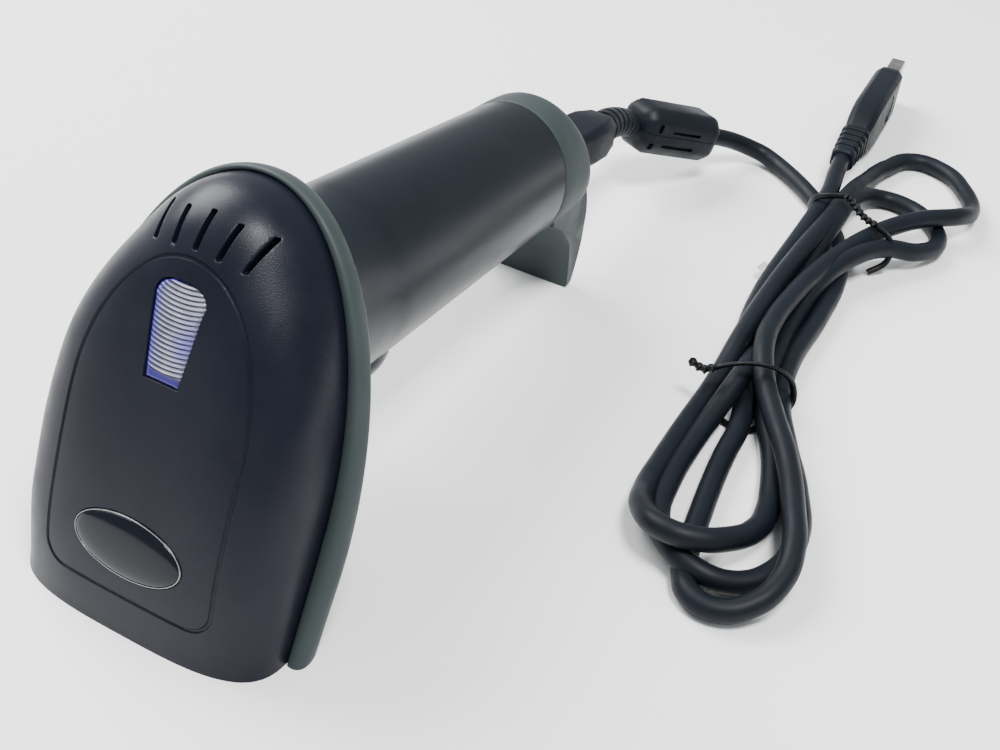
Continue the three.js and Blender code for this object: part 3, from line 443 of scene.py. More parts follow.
def make_cord():
    data = bpy.data.curves.new("cord", "CURVE")
    data.dimensions = "3D"
    data.bevel_depth = CORD / 2 / 1000
    data.bevel_resolution = 6
    data.resolution_u = 8
    data.use_fill_caps = True
    points = LEAD_ROUTE + HANK_ROUTE
    spline = data.splines.new("BEZIER")
    spline.bezier_points.add(len(points) - 1)
    for knot, point in zip(spline.bezier_points, points):
        knot.co = ROW @ Vector(point)
        knot.handle_left_type = "AUTO"
        knot.handle_right_type = "AUTO"
    cord = bpy.data.objects.new("cord", data)
    bpy.context.scene.collection.objects.link(cord)
    data.materials.append(CABLE)
    return finish_piece(cord, "cord", CABLE, ("cable_lead", "cable_hank"))


cord = make_cord()


def sweep(name, path, section_at):
    """A closed skin along a path. section_at(share, distance) gives the section as (right, up) pairs."""
    path = [Vector(p) for p in path]
    lengths = [0.0]
    for a, b in zip(path, path[1:]):
        lengths.append(lengths[-1] + (b - a).length)
    up = Vector((0, 0, 1))
    rings = []
    for i, point in enumerate(path):
        along = (path[min(i + 1, len(path) - 1)] - path[max(i - 1, 0)]).normalized()
        right = along.cross(up).normalized()
        up = right.cross(along).normalized()
        section = section_at(lengths[i] / lengths[-1], lengths[i])
        rings.append([point + right * a + up * b for a, b in section])
    return loft(name, rings)


def circle(radius, sides):
    return [(radius * math.cos(2 * math.pi * i / sides), radius * math.sin(2 * math.pi * i / sides))
            for i in range(sides)]


# ------------------------------------------------------------ head shape
def arch_half_width(y, half_width, start, crown):
    reach = min(max((y - start) / (crown - start), 0), 1)
    return half_width * (1 - reach ** ARCH_POWER) ** (1 / ARCH_POWER)


def face_height(y):
    flat = 44
    if y < flat:
        return FACE_HEIGHT - NOSE_DROP * ((flat - y) / 49.5) ** 3
    return FACE_HEIGHT * math.sqrt(max(1 - ((y - flat) / (CROWN - flat)) ** 4.6, 0))


def belly_depth(y):
    rear = 42
    if y < rear:
        return 17 + 5 * min((rear - y) / 33, 1.4)
    return 17 * math.sqrt(max(1 - ((y - rear) / (CROWN - rear)) ** 2.4, 0))


def cover_power(y):
    if y < 12:
        return 3.2 + 0.8 * max(y, 0) / 12
    share = min(max((y - 42) / 27, 0), 1)
    return 4 - 2 * share * share * (3 - 2 * share)


def surface_height(x, y, inset=0.0):
    """How high the cover's skin stands above the parting plane at a place on the face."""
    half = max(arch_half_width(y, COVER_HALF_WIDTH, ARCH_START, CROWN), 0.01)
    power = cover_power(y)
    return face_height(y) * max(1 - min(abs(x / half), 1) ** power, 0) ** (1 / power) - inset


def half_ring(y, half_width, height, power, side, tail, count):
    """Half a superellipse from one side over to the other, evenly spaced, with legs past the parting."""
    angles = np.linspace(0, math.pi, 600)
    c, s = np.cos(angles), np.abs(np.sin(angles))
    x = half_width * np.sign(c) * np.abs(c) ** (2 / power)
    z = height * s ** (2 / power)
    walk = np.r_[0, np.cumsum(np.hypot(np.diff(x), np.diff(z)))]
    even = np.linspace(0, walk[-1], count)
    xs, zs = np.interp(even, walk, x), np.interp(even, walk, z)
    arc = [(a, y, side * b) for a, b in zip(xs, zs)]
    return [(half_width, y, -side * tail), *arc, (-half_width, y, -side * tail)]


def head_half(name, inset, tail, height_of, power_of, side, count, straight, curved):
    crown = CROWN - inset
    stations = list(np.linspace(-16, ARCH_START, straight, endpoint=False))
    stations += [ARCH_START + (crown - ARCH_START) * math.sin(math.pi / 2 * min(i / curved, 0.995))
                 for i in range(curved + 1)]
    rings = []
    for y in stations:
        half = max(arch_half_width(y, COVER_HALF_WIDTH - inset, ARCH_START, crown), 0.2)
        height = max(height_of(min(y + inset * (y / CROWN), CROWN - 0.05)) - inset, 0.1)
        rings.append(half_ring(y, half, height, power_of(y), side, tail, count))
    return loft(name, rings, HEAD)


def cover_skin(inset, tail, count=121, straight=16, curved=60):
    return head_half("cover", inset, tail, face_height, cover_power, 1, count, straight, curved)


def belly_skin(inset, tail, count=81, straight=12, curved=36):
    return head_half("belly", inset, tail, belly_depth, lambda y: 2.8, -1, count, straight, curved)


def above_parting(level):
    return box_solid((-90, 90), (-90, 150), (level, 90), HEAD)


def below_parting(level):
    return box_solid((-90, 90), (-90, 150), (-90, level), HEAD)


def under_floor():
    return box_solid((-80, 80), (-80, 240), (-80, 0))


def recess(outline, levels):
    """A cutter that follows the face: the anticlockwise outline, grown and sunk at each level."""
    rings = []
    for grow, depth in levels:
        ring = []
        for i, point in enumerate(outline):
            after = Vector(outline[(i + 1) % len(outline)])
            before = Vector(outline[i - 1])
            edge = (after - before).normalized()
            out = Vector((edge.y, -edge.x))
            x, y = Vector(point) + out * grow
            ring.append((x, y, surface_height(x, y, depth)))
        rings.append(ring)
    return loft("recess", rings, HEAD)


# ------------------------------------------------------------ head cover
# The badge: its centre, half width and half height. A slot: its lower and upper x, its lower and
# upper y, its half width. The outer slots lean and are made on both sides.
LENS = {"low": 43.7, "high": 60.0, "bulge": 1.5, "low_half": 3.6, "high_half": 5.4}
BADGE_AT = (12.8, 11.9, 6.0)
PANEL = {"low": 2.9, "half": 18.4, "shoulder": 36, "crown": 65.4, "corner": 4.6}
SLOTS = [(0, 0, 67.3, 73.2, 0.52), (4.6, 5.3, 66.9, 72.4, 0.5), (9.3, 10.6, 66.25, 71.8, 0.5)]


def ellipse(half_x, half_y, centre_y, count=72):
    angles = (2 * math.pi * i / count for i in range(count))
    return [(half_x * math.cos(a), centre_y + half_y * math.sin(a)) for a in angles]


def slot_outline(low_x, high_x, low, high, half):
    """A long slot with small round corners, leaning from low_x to high_x, with points along its sides."""
    points = []
    for quarter in range(4):
        side = 1 if quarter in (0, 3) else -1
        x, y, rise = (high_x, high, 1) if quarter < 2 else (low_x, low, -1)
        for i in range(5):
            angle = math.pi / 2 * (quarter + i / 4)
            points.append((x + side * half * 0.45 + 0.55 * half * math.cos(angle),
                           y + rise * half * 0.3 + 0.55 * half * math.sin(angle)))
        if quarter in (1, 3):
            start, end = (high, low) if quarter == 1 else (low, high)
            start_x, end_x = (high_x, low_x) if quarter == 1 else (low_x, high_x)
            points += [(start_x + (end_x - start_x) * i / 12 + side * half, start + (end - start) * i / 12)
                       for i in range(1, 12)]
    return points


def lens_half_width(y):
    share = (y - LENS["low"]) / (LENS["high"] - LENS["low"])
    return LENS["low_half"] + (LENS["high_half"] - LENS["low_half"]) * min(max(share, 0), 1)


def lens_outline(shrink=0.0):
    low, high, round_off = LENS["low"] + shrink, LENS["high"] - shrink, 2.4
    right = [(lens_half_width(y) - shrink, y) for y in np.linspace(low, high - round_off, 10)]
    half = LENS["high_half"] - shrink
    top = []
    for i in range(1, 20):
        angle = math.pi * i / 20
        x = half * math.copysign(abs(math.cos(angle)) ** 0.62, math.cos(angle))
        top.append((x, high - round_off + (round_off + LENS["bulge"]) * math.sin(angle) ** 0.8))
    return right + top + [(-x, y) for x, y in reversed(right)]


def panel_outline(count=150):
    """The arch drawn on the face, as points evenly along it."""
    low, half, corner = PANEL["low"], PANEL["half"], PANEL["corner"]
    points = [(half - corner + corner * math.sin(a), low + corner - corner * math.cos(a))
              for a in np.linspace(0, math.pi / 2, 14)]
    rise = PANEL["crown"] - PANEL["shoulder"]
    points += [(half * math.cos(a), PANEL["shoulder"] + rise * math.sin(a))
               for a in np.linspace(0, math.pi, 80)]
    points += [(-x, y) for x, y in reversed(points[:14])]
    loop = np.array(points + points[:1])
    walk = np.r_[0, np.cumsum(np.hypot(*np.diff(loop, axis=0).T))]
    even = np.linspace(0, walk[-1], count, endpoint=False)
    return [(np.interp(s, walk, loop[:, 0]), np.interp(s, walk, loop[:, 1])) for s in even]


def panel_groove():
    """A closed run of a small rounded section that follows the face along the arch."""
    section = [(-0.55, -0.4), (-0.42, 0.06), (-0.2, 0.3), (0.2, 0.3), (0.42, 0.06), (0.55, -0.4)]
    outline = panel_outline()
    rings = []
    for i, (x, y) in enumerate(outline):
        after, before = Vector(outline[(i + 1) % len(outline)]), Vector(outline[i - 1])
        edge = (after - before).normalized()
        out = Vector((edge.y, -edge.x))
        ring = []
        for across, depth in section:
            px, py = x + out.x * across, y + out.y * across
            ring.append((px, py, surface_height(px, py, depth)))
        rings.append(ring)
    return loft("groove", rings, HEAD, looped=True)


def make_cover():
    cover = combine(cover_skin(0, 2), [cover_skin(WALL, 3, 61, 8, 24), below_parting(0.15), under_floor()])
    centre, half_x, half_y = BADGE_AT
    badge_seat = ellipse(half_x, half_y, centre)
    cutters = [panel_groove(),
               recess(lens_outline(), [(0.5, -0.4), (0.12, 0.0), (0, 0.2), (0, 4)]),
               recess(badge_seat, [(0.3, -0.4), (0.12, 0), (0.02, 0.12), (0, 0.9)])]
    slot_levels = [(0.45, -1.2), (0.2, -0.02), (0.06, 0.08), (0, 0.3), (0, 4.3)]
    for low_x, high_x, low, high, half in SLOTS:
        for side in (1, -1) if high_x else (1,):
            cutters.append(recess(slot_outline(side * low_x, side * high_x, low, high, half), slot_levels))
    combine(cover, cutters)
    finish_piece(cover, "cover", HEAD_BLACK, ("head_cover",), sharp=30)


make_cover()


def make_lens():
    """Ribbed wedge: rows run up the lens, each rib a rounded ridge with a sharp valley."""
    outline = lens_outline(0.25)
    top = max(y for _, y in outline)
    low = LENS["low"] + 0.25
    rows, columns, ribs = 380, 26, 19
    edge_y = [y for x, y in outline if x >= 0]
    edge_x = [x for x, y in outline if x >= 0]
    order = np.argsort(edge_y)
    edge_y, edge_x = np.array(edge_y)[order], np.array(edge_x)[order]
    vertices, faces, violet_shade_and_glow, crest_highlight = [], [], [], []
    for row in range(rows + 1):
        y0 = low + (top - low) * row / rows
        half = max(float(np.interp(y0, edge_y, edge_x)), 0.05)
        for column in range(columns + 1):
            u = 2 * column / columns - 1
            x = u * half
            phase = (y0 - low - 1.4 - 0.035 * x * x) / (top - low - 1.4) * ribs
            ridge = abs(math.sin(math.pi * phase)) ** 0.8 if y0 > low + 1.5 else 0.55
            border = min((1 - abs(u)) * half, top - y0 + 0.15, y0 - low + 0.15) / 0.5
            rise = 0.34 * ridge * min(max(border, 0), 1)
            vertices.append((x, y0, surface_height(x, y0, 0.42) + rise))
            # Painted light masks: violet shade along the left edge and along the foot, and a violet spot,
            # each with a faint painted glow.
            left_edge_shade = math.exp(-((u + 1) * half / 1.3) ** 2)
            foot_shade = 1 / (1 + math.exp((y0 - low - 1.2) / 0.15))
            violet_spot = math.exp(-((u - 0.75) / 0.55) ** 2 - ((y0 - 51.5) / 3.2) ** 2)
            violet_shade_and_glow.append(min(left_edge_shade + foot_shade + 0.75 * violet_spot, 1))
            # Painted highlight mask for the rib crests; low values paint shade into the valleys.
            crest_highlight.append(ridge ** 7)
    count = len(vertices)
    vertices += [(x, y, surface_height(x, y, 2.4)) for x, y, _ in vertices]
    violet_shade_and_glow += violet_shade_and_glow
    crest_highlight += crest_highlight
    wide = columns + 1
    for row in range(rows):
        for column in range(columns):
            a = row * wide + column
            quad = (a, a + 1, a + wide + 1, a + wide)
            faces.append(quad)
            faces.append(tuple(count + i for i in reversed(quad)))
    rim = [row * wide for row in range(rows, -1, -1)] + list(range(1, wide))
    rim += [row * wide + columns for row in range(1, rows + 1)]
    rim += [rows * wide + column for column in range(columns - 1, 0, -1)]
    for i, a in enumerate(rim):
        b = rim[(i + 1) % len(rim)]
        faces.append((a, a + count, b + count, b))
    mesh = bpy.data.meshes.new("lens")
    mesh.from_pydata([HEAD @ Vector(v) for v in vertices], [], faces)
    for label, values in (("violet_shade_and_glow", violet_shade_and_glow), ("crest_highlight", crest_highlight)):
        attribute = mesh.attributes.new(label, "FLOAT", "POINT")
        attribute.data.foreach_set("value", values)
    lens = bpy.data.objects.new("lens", mesh)
    bpy.context.scene.collection.objects.link(lens)
    finish_piece(lens, "lens", LENS_LOOK, ("indicator_lens",), sharp=60)


make_lens()


def make_badge():
    """A blank domed plate in a thin bright ring, following the face."""
    centre, half_x, half_y = BADGE_AT
    plate = []
    for share, height in ((1, -0.7), (1, 0.12), (0.985, 0.24), (0.95, 0.36), (0.88, 0.5), (0.76, 0.66),
                          (0.6, 0.8), (0.42, 0.9), (0.22, 0.96), (0.04, 0.98)):
        ring = ellipse((half_x - 0.42) * share, (half_y - 0.42) * share, centre, 96)
        plate.append([(x, y, surface_height(x, y) + height) for x, y in ring])
    finish_piece(loft("plate", plate, HEAD), "plate", BADGE, ("badge_plate",), sharp=60)
    section = [(-0.16, -0.7), (-0.18, 0.1), (-0.1, 0.22), (0.08, 0.22), (0.17, 0.08), (0.18, -0.7)]
    rings = []
    for i in range(120):
        angle = 2 * math.pi * i / 120
        ring = []
        for across, up in section:
            x = (half_x - 0.22 + across) * math.cos(angle)
            y = centre + (half_y - 0.22 + across) * math.sin(angle)
            ring.append((x, y, surface_height(x, y) + up))
        rings.append(ring)
    rim = loft("rim", rings, HEAD, looped=True)
    finish_piece(rim, "badge_ring", CHROME, ("badge_rim",), sharp=45)


make_badge()


# ------------------------------------------------------------ bumper rim
def bumper_ring(inner, outer):
    lift = 1.3 * max(20 - inner[1], 0) / 26
    top, bottom = 1.5 + lift, -3.4
    section = [(0, bottom), (0, (top + bottom) / 2), (0, top - 0.1), (0.08, top + 0.12), (0.35, top + 0.3),
               (0.7, top + 0.15), (0.93, top - 0.7), (1.0, top - 2.2), (0.93, top - 3.6),
               (0.8, bottom + 1.1), (0.5, bottom), (0.25, bottom)]
    return [(inner[0] + (outer[0] - inner[0]) * share, inner[1] + (outer[1] - inner[1]) * share, z)
            for share, z in section]


def make_bumper():
    inner_half = COVER_HALF_WIDTH + BUMPER_GAP
    rings = [bumper_ring((inner_half, y), (BUMPER_HALF_WIDTH - taper, y))
             for y, taper in ((-12, 1.0), (-8, 0.9), (-2, 0.7), (6, 0.4), (12, 0.15), (17, 0))]
    steps = 40
    for i in range(steps + 1):
        reach = math.sin(math.pi / 2 * i / steps)
        width = (1 - reach ** ARCH_POWER) ** (1 / ARCH_POWER)
        inner = (inner_half * width, ARCH_START + (CROWN + BUMPER_GAP - ARCH_START) * reach)
        outer = (BUMPER_HALF_WIDTH * width, BUMPER_ARCH_START + (BUMPER_CROWN - BUMPER_ARCH_START) * reach)
        rings.append(bumper_ring(inner, outer))
    rings += [[(-x, y, z) for x, y, z in ring] for ring in reversed(rings[:-1])]
    bumper = refine(loft("bumper", rings, HEAD), 1)
    combine(bumper, [under_floor()])
    finish_piece(bumper, "bumper", RUBBER, ("bumper_rim",), sharp=40)


make_bumper()


# ------------------------------------------------------------ body shell and grip cover
def handle_section(y):
    to_seam = min(-y / 70, 1)
    flare = max((-y - 72) / 28, 0) ** 1.6
    return (SEAM_HALF_WIDTH + 1.4 * to_seam + 4.6 * flare, SEAM_HALF_DEPTH + 2.5 * to_seam + 4.2 * flare)


def handle_ring(y, half_width, half_depth, points, slant=0.0):
    ring = []
    for i in range(points):
        angle = 2 * math.pi * i / points
        z = half_depth * math.sin(angle)
        ring.append((half_width * math.cos(angle), y - slant * z, z))
    return ring


def handle_tube(inset, start, end, steps, points):
    rings = []
    for y in np.linspace(start, end, steps + 1):
        half_width, half_depth = handle_section(min(y, 0))
        rings.append(handle_ring(y, half_width - inset, half_depth - inset, points))
    return loft("tube", rings, HANDLE)


def cheeks():
    rings = []
    for share in np.linspace(0, 1, 25):
        size = math.sqrt(max(1 - (2 * share - 1) ** 2, 0.01))
        ring = handle_ring(-87 + 30 * share, 12.5 * size, 7.5 * size, 40)
        rings.append([(x, y, z - 14.2) for x, y, z in ring])
    return loft("cheeks", rings, HANDLE)


def grip_region(grow, top):
    """The grip cover's outline: square at the trigger, rounded at the end, seen from below."""
    half = 12.3 + grow
    start = (70.9 - SEAM_Y) / math.cos(HANDLE_DROP) - grow
    end = -6.5 + grow
    outline = [(-half, start), (half, start)]
    outline += [(half * math.cos(a), end - half * 0.8 + half * 0.8 * math.sin(a))
                for a in np.linspace(0, math.pi, 33)]
    return loft("grip", [[(x, y, z) for x, y in outline] for z in (-40, top)], HANDLE)


def trigger_room(half):
    return box_solid((-half, half), (44.6, 69.5), (6, 29))


def make_shells():
    shell = combine(belly_skin(0, 0), [handle_tube(0, -112, -GAP, 56, 96), cheeks()], "UNION")
    combine(shell, [above_parting(-GAP), under_floor()])
    combine(shell, [belly_skin(WALL, 6, 41, 8, 20), handle_tube(WALL, -108, 6, 24, 64)])
    grip = combine(copy_of(shell), [grip_region(0, -4)], "INTERSECT")
    combine(grip, [trigger_room(7.5)])
    combine(shell, [grip_region(GAP, -4 + GAP), trigger_room(7.5)])
    for x in (-20, 20):
        combine(shell, [rod((x, 14, -30), (x, 14, -9), 2.7, HEAD)])
    finish_piece(shell, "shell", SATIN_BLACK, ("body_shell",), sharp=30)
    finish_piece(grip, "grip", SATIN_BLACK, ("grip_cover",), sharp=30)


make_shells()


# ------------------------------------------------------------ end cap with its toe
def cap_skin(inset, start, length, points=96):
    stations = [(0, 0.985), (0.03, 1), (0.3, 1), (0.6, 0.998), (0.74, 0.992), (0.85, 0.98), (0.92, 0.962),
                (0.97, 0.938), (1, 0.9)]
    rings = []
    for share, scale in stations:
        y = start + (length - start) * share
        rings.append(handle_ring(y, (SEAM_HALF_WIDTH + 0.2) * scale - inset,
                                 (SEAM_HALF_DEPTH + 0.2) * scale - inset, points, 0.3 * share))
    return loft("cap", rings, HANDLE)


def toe_profile():
    """Side view of the toe: a blade that curves down to its flat foot."""
    def bend(start, middle, end, steps):
        start, middle, end = Vector(start), Vector(middle), Vector(end)
        return [(1 - t) ** 2 * start + 2 * t * (1 - t) * middle + t * t * end
                for t in np.linspace(0, 1, steps, endpoint=False)]
    points = bend((135.4, 24.5), (147.6, 17.5), (149.0, 0), 16)
    points += [Vector((149.0, 0))]
    points += bend((151.6, 0), (154.2, 8), (154.7, 21), 12)
    points += bend((154.7, 21), (154.6, 27.5), (151.5, 31), 8)
    return points + [Vector((151.5, 31)), Vector((135.6, 31))]


def make_toe():
    """The profile pushed across, a little narrower at its rounded edges, foot and shoulder."""
    edge = [(1, 0.9), (0.975, 0.4), (0.93, 0.12), (0.87, 0)]
    rings = []
    for x, shrink in [(-x, shrink) for x, shrink in edge] + [(0, 0)] + edge[::-1]:
        ring = []
        for y, z in toe_profile():
            half = 13.4 - 0.7 * max((12 - z) / 12, 0) - 0.8 * max((z - 20) / 14, 0)
            centre = Vector((147.5, 16))
            inward = (centre - Vector((y, z))).normalized() * shrink
            ring.append((x * half, y + inward.x, max(z + inward.y, 0)))
        rings.append(ring)
    return loft("toe", rings)


def make_cap():
    cap = combine(cap_skin(0, 0, CAP_LENGTH), [make_toe()], "UNION")
    combine(cap, [cap_skin(2.2, -4, CAP_LENGTH - 2.4, 64)])
    cutters = [box_solid((-6.3, 6.3), (5, 24), (-7.8, 2.8), HANDLE)]
    for x in (-8.6, 8.6):
        cutters.append(rod((x, 4.4, 9.2), (x, 30, 9.2), 2.6, HANDLE))
    combine(cap, cutters)
    finish_piece(cap, "cap", RUBBER, ("end_cap",), sharp=38)


make_cap()


# ------------------------------------------------------------ trigger
def make_trigger():
    y, z = TRIGGER_PIVOT
    corners = [(y - 2.2, z - 2.2), (y - 1.6, z - 5.5), (y + 0.6, z - 9.2), (y + 4.5, z - 12.0),
               (y + 9.5, z - 13.0), (y + 14.5, z - 12.8), (y + 18.4, z - 11.7), (y + 20.0, z - 9.8),
               (y + 19.4, z - 7.0),
               (y + 18.2, z - 4.5), (y + 12.4, z - 3.3), (y + 11.5, z - 1.1), (y + 8.5, z - 1.1),
               (y + 7.4, z - 2.7), (y + 2.9, z - 1.1), (y + 2.0, z + 2.1), (y, z + 2.9), (y - 2.1, z + 2.0)]
    middle = Vector((y + 9, z - 7))
    edge = [(7, 1.3), (6.85, 0.6), (6.3, 0.15), (5, 0), (2, 0)]
    rings = []
    for x, shrink in [(-x, shrink) for x, shrink in edge] + edge[::-1]:
        ring = []
        for corner in corners:
            inward = (middle - Vector(corner)).normalized() * shrink
            crown = 0.35 * (abs(x) / 7) ** 2 if corner[1] < z - 9 else 0
            ring.append((x, corner[0] + inward.x, corner[1] + inward.y + crown))
        rings.append(ring)
    trigger = refine(loft("trigger_piece", rings), 2)
    finish_piece(trigger, "trigger_piece", RUBBER, ("trigger",), sharp=50,
                 body="trigger")


make_trigger()


# ------------------------------------------------------------ boot, relief, ferrite
def chamfered(half_x, half_z, chamfer):
    short_x, short_z = half_x - chamfer, half_z - chamfer
    return [(half_x, short_z), (short_x, half_z), (-short_x, half_z), (-half_x, short_z),
            (-half_x, -short_z), (-short_x, -half_z), (short_x, -half_z), (half_x, -short_z)]


def straight_loft(name, start, end, stations, roll=0.0):
    """Eight-sided sections along a line: (distance, half width, half height, chamfer)."""
    start, end = Vector(start), Vector(end)
    along = (end - start).normalized()
    right = along.cross(Vector((0, 0, 1))).normalized()
    right.rotate(Matrix.Rotation(math.radians(roll), 3, along))
    up = right.cross(along)
    rings = [[start + along * d + right * a + up * b for a, b in chamfered(hx, hz, c)]
             for d, hx, hz, c in stations]
    return loft(name, rings), start, along, right, up


def make_boot():
    length = (Vector(BOOT_TO) - Vector(BOOT_FROM)).length
    stations = [(0, 5.6, 4.2, 1.3), (13, 5.8, 4.4, 1.3), (16, 6.3, 4.9, 1.5), (19, 6.6, 5.3, 1.6),
                (25, 6.5, 5.3, 1.8), (28, 5.7, 5.0, 1.9), (length, 5.0, 4.8, 1.9)]
    boot = straight_loft("boot", BOOT_FROM, BOOT_TO, stations)[0]
    soften(boot, 0.5, 20)
    return finish_piece(boot, "boot", CABLE, ("cable_boot",), sharp=30)


lead_path = smooth_path(LEAD_ROUTE, 10)
lead_lengths = np.r_[0, np.cumsum([(b - a).length for a, b in zip(lead_path, lead_path[1:])])]


def lead_stretch(start, end, steps):
    """The lead's route between two distances along it, in even steps."""
    wanted = np.linspace(start, end, steps + 1)
    axes = [np.interp(wanted, lead_lengths, [p[i] for p in lead_path]) for i in range(3)]
    return [Vector(p) for p in zip(*axes)]


def make_relief():
    ribs, length = 6, 21.5

    def section(share, distance):
        turn = (share * ribs) % 1
        body = 4.5 - 0.8 * share
        groove = 0.75 * min(max(4 * math.cos(2 * math.pi * turn) - 1.6, 0), 1)
        return circle(body - groove, 32)

    relief = sweep("relief", lead_stretch(1.0, 1.0 + length, 200), section)
    return finish_piece(relief, "relief", CABLE, ("cable_relief",), sharp=35)


def make_ferrite():
    """A clip-on case in two halves, with long slots in its sides and a pair of catches."""
    start, end = lead_stretch(25.2, 55.0, 1)
    length = (end - start).length
    stations = [(0, 4.4, 4.4, 1.9), (0.6, 5.2, 5.2, 2.2), (1.8, 6.2, 6.2, 2.6), (3.6, 6.8, 6.8, 2.8),
                (length - 3.6, 6.8, 6.8, 2.8), (length - 1.8, 6.3, 6.3, 2.6), (length - 0.6, 5.4, 5.4, 2.2),
                (length, 4.7, 4.7, 1.9)]
    case, start, along, right, up = straight_loft("ferrite", start, end, stations)
    soften(case, 0.9, 25)
    turn = Matrix((right, along, up)).transposed().to_4x4()
    at = Matrix.Translation(start) @ turn
    openings = [((5.9, 9), (9.5, 20.5), (1.0, 1.8)), ((5.9, 9), (7, 19.5), (-3.4, -2.4)),
                ((-9, -5.9), (9.5, 20.5), (1.0, 1.8)), ((5.7, 9), (3.8, 5.2), (0.6, 3.2)),
                ((5.7, 9), (2.4, 3.8), (-4.6, -2.6))]
    combine(case, [box_solid(x, y, z, at) for x, y, z in openings])
    upper = combine(copy_of(case), [box_solid((-30, 30), (-30, 60), (-30, 0.08), at)])
    combine(case, [box_solid((-30, 30), (-30, 60), (-0.08, 30), at)])
    return [finish_piece(upper, "ferrite_upper", CABLE, ("ferrite_case_upper",), sharp=35),
            finish_piece(case, "ferrite_lower", CABLE, ("ferrite_case_lower",), sharp=35)]


# ------------------------------------------------------------ ties, plug and sticker
def make_tie(name, route, node, twist_from, twist_to):
    """Flat coated wire round the hank, twisted with its other end between two shares of its length."""
    path = smooth_path(route, 16)

    def section(share, distance):
        twisted = twist_from < share < twist_to
        turn = 1.6 * (distance - twist_from) if twisted else 0
        wide, thin = (1.15, 0.62) if twisted else (0.85, 0.5)
        oval = [(wide * x, thin * y) for x, y in circle(1, 14)]
        return [(x * math.cos(turn) - y * math.sin(turn), x * math.sin(turn) + y * math.cos(turn))
                for x, y in oval]

    tie = sweep(name, path, section)
    return finish_piece(tie, name, TIE, (node,), sharp=50)


LOWER_TIE = [
    (66.8, 121.1, 0.8), (71.7, 119.8, 0.8), (75.2, 124.4, 0.8), (77.2, 130, 0.9), (78.4, 134.2, 2.8),
    (77.6, 134.4, 7), (76.0, 132.6, 10.4), (73.2, 130.4, 12.6), (69.5, 128.6, 13.2), (65.7, 126.2, 13),
    (62.3, 124.2, 11.8), (60.0, 124.1, 10.2), (58.6, 124.6, 9.6), (57.0, 125.2, 9.6), (55.4, 125.6, 9.8),
]
UPPER_TIE = [
    (53.4, 221.4, 1.2), (52.4, 219.8, 5.4), (53.8, 217.4, 9.8), (57.2, 216.6, 12), (61, 217.6, 12.8),
    (63.4, 217.2, 12.7), (66.4, 214, 12.0), (69.6, 211.8, 11.4), (73.2, 209.8, 11.4), (77, 208.4, 10.4),
    (79, 207.6, 7.4), (78.4, 206.4, 3.4), (75.2, 203.6, 0.9),
]


def make_plug():
    length = (Vector(PLUG_TO) - Vector(PLUG_FROM)).length
    stations = [(0, 2.9, 2.9, 1.1), (0.6, 3.3, 3.2, 1.2)]
    for i in range(5):
        d = 1.2 + 3.3 * i
        wide = 3.6 + 0.2 * i
        stations += [(d, wide, wide - 0.2, 1.4), (d + 2.0, wide + 0.1, wide - 0.15, 1.4),
                     (d + 2.2, wide - 0.6, wide - 0.8, 1.3), (d + 3.1, wide - 0.55, wide - 0.75, 1.3)]
    stations += [(18.4, 4.6, 3.9, 1.5), (21, 5.6, 4.2, 1.6), (25, 7.2, 4.4, 1.8), (30, 8.0, 4.5, 1.8),
                 (length - 3, 8.0, 4.4, 1.8), (length - 0.6, 7.8, 4.2, 1.7), (length, 7.4, 3.8, 1.5)]
    body, start, along, right, up = straight_loft("plug_body", PLUG_FROM, PLUG_TO, stations, 90)
    soften(body, 0.35, 30, 2)
    at = Matrix.Translation(start) @ Matrix((right, along, up)).transposed().to_4x4()
    for s in (1, -1):
        thumb_dish = rod((0, length - 14, s * 6.2), (0, length - 13.8, s * 3.9), 5.0, at, 40, 4.4)
        combine(body, [thumb_dish])
    shell_start = start + along * (length + GAP)
    shell_stations = [(0, 6, 2.25, 0.35), (12.6, 6, 2.25, 0.35)]
    shell = straight_loft("plug_shell", shell_start, shell_start + along * 12.6, shell_stations, 90)[0]
    shell_at = Matrix.Translation(shell_start) @ Matrix((right, along, up)).transposed().to_4x4()
    combine(shell, [box_solid((-5.65, 5.65), (1.2, 20), (-1.9, 1.9), shell_at)])
    combine(shell, [box_solid((s * 2.9 - 1.1, s * 2.9 + 1.1), (4.6, 7), (-4, 4), shell_at) for s in (-1, 1)])
    combine(shell, [box_solid((-0.15, 0.15), (-1, 20), (-4, -1), shell_at)])
    soften(shell, 0.12, 40, 2)
    tongue = box_solid((-5.3, 5.3), (1.9, 11.9), (-1.55, 0.1), shell_at)
    soften(tongue, 0.2, 40, 2)
    return [finish_piece(body, "plug_body", CABLE, ("usb_plug_body",), sharp=35),
            finish_piece(shell, "plug_shell", STEEL, ("usb_plug_shell",), sharp=35),
            finish_piece(tongue, "plug_tongue", NYLON, ("usb_plug_tongue",), sharp=35)]


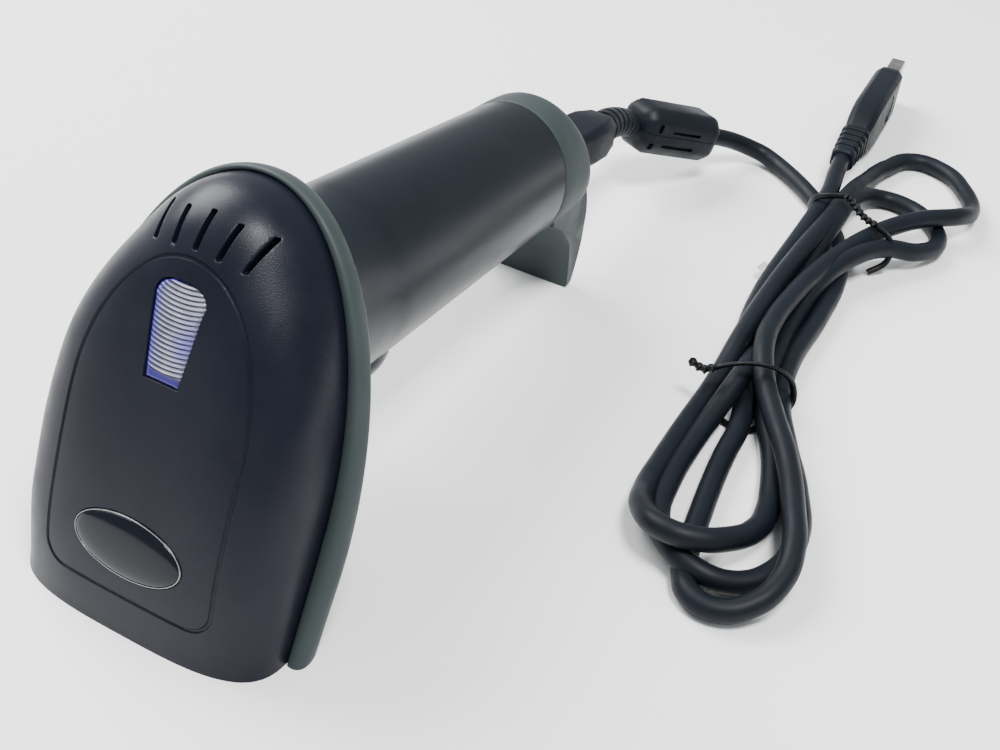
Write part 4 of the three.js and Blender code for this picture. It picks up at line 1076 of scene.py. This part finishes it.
def make_sticker():
    """A blank paper flag, half peeled from the cord."""
    rows = []
    for i in range(9):
        t = i / 8
        centre = Vector((53.6 - 2.2 * t, 184.0 + 0.8 * t, 3.6 - 0.6 * t + 0.8 * t * t))
        rows.append([centre + Vector((0.4 * w, 2.0 * w, lift))
                     for w, lift in ((-1, 0), (1, 0), (1, 0.18), (-1, 0.18))])
    sticker = loft("sticker", rows)
    return finish_piece(sticker, "sticker", NYLON, sharp=40)


on_the_cord = [make_boot(), make_relief(), *make_ferrite(), *make_plug(), make_sticker(),
               make_tie("wire_lower", LOWER_TIE, "tie_lower", 0.86, 1),
               make_tie("wire_upper", UPPER_TIE, "tie_upper", 0.37, 0.66)]


# ------------------------------------------------------------ floor and lights
def make_floor():
    half = 1.6
    material, tree, shader = nodes_of("floor_white")
    tone = mixed(tree, ranged(tree, noise(tree, 0.4), 0, 1), (0.93, 0.93, 0.93), (0.96, 0.96, 0.96))
    tree.links.new(tone, shader.inputs["Base Color"])
    shader.inputs["Roughness"].default_value = 0.9
    shader.inputs["Specular IOR Level"].default_value = 0.1
    mesh = bpy.data.meshes.new("floor")
    corners = [(-half, -half, 0), (half, -half, 0), (half, half, 0), (-half, half, 0)]
    mesh.from_pydata(corners, [], [(0, 1, 2, 3)])
    mesh.materials.append(material)
    floor = bpy.data.objects.new("floor", mesh)
    bpy.context.scene.collection.objects.link(floor)


def area_light(name, place, aim, width, height, power):
    data = bpy.data.lights.new(name, "AREA")
    data.shape = "RECTANGLE"
    data.size, data.size_y, data.energy = width, height, power
    light = bpy.data.objects.new(name, data)
    direction = Vector(aim) - Vector(place)
    light.matrix_world = Matrix.Translation(place) @ direction.to_track_quat("-Z", "Y").to_matrix().to_4x4()
    bpy.context.scene.collection.objects.link(light)


def make_lights():
    world = bpy.data.worlds.new("studio")
    world.use_nodes = True
    world.node_tree.nodes["Background"].inputs["Color"].default_value = (0.93, 0.97, 1, 1)
    world.node_tree.nodes["Background"].inputs["Strength"].default_value = 0.62
    bpy.context.scene.world = world
    area_light("key", (-0.85, 0.2, 0.8), (0, 0, 0.03), 0.8, 0.8, 30)
    area_light("top", (0.28, -0.14, 0.9), (0.02, -0.05, 0.05), 0.26, 0.26, 13)


make_floor()
make_lights()
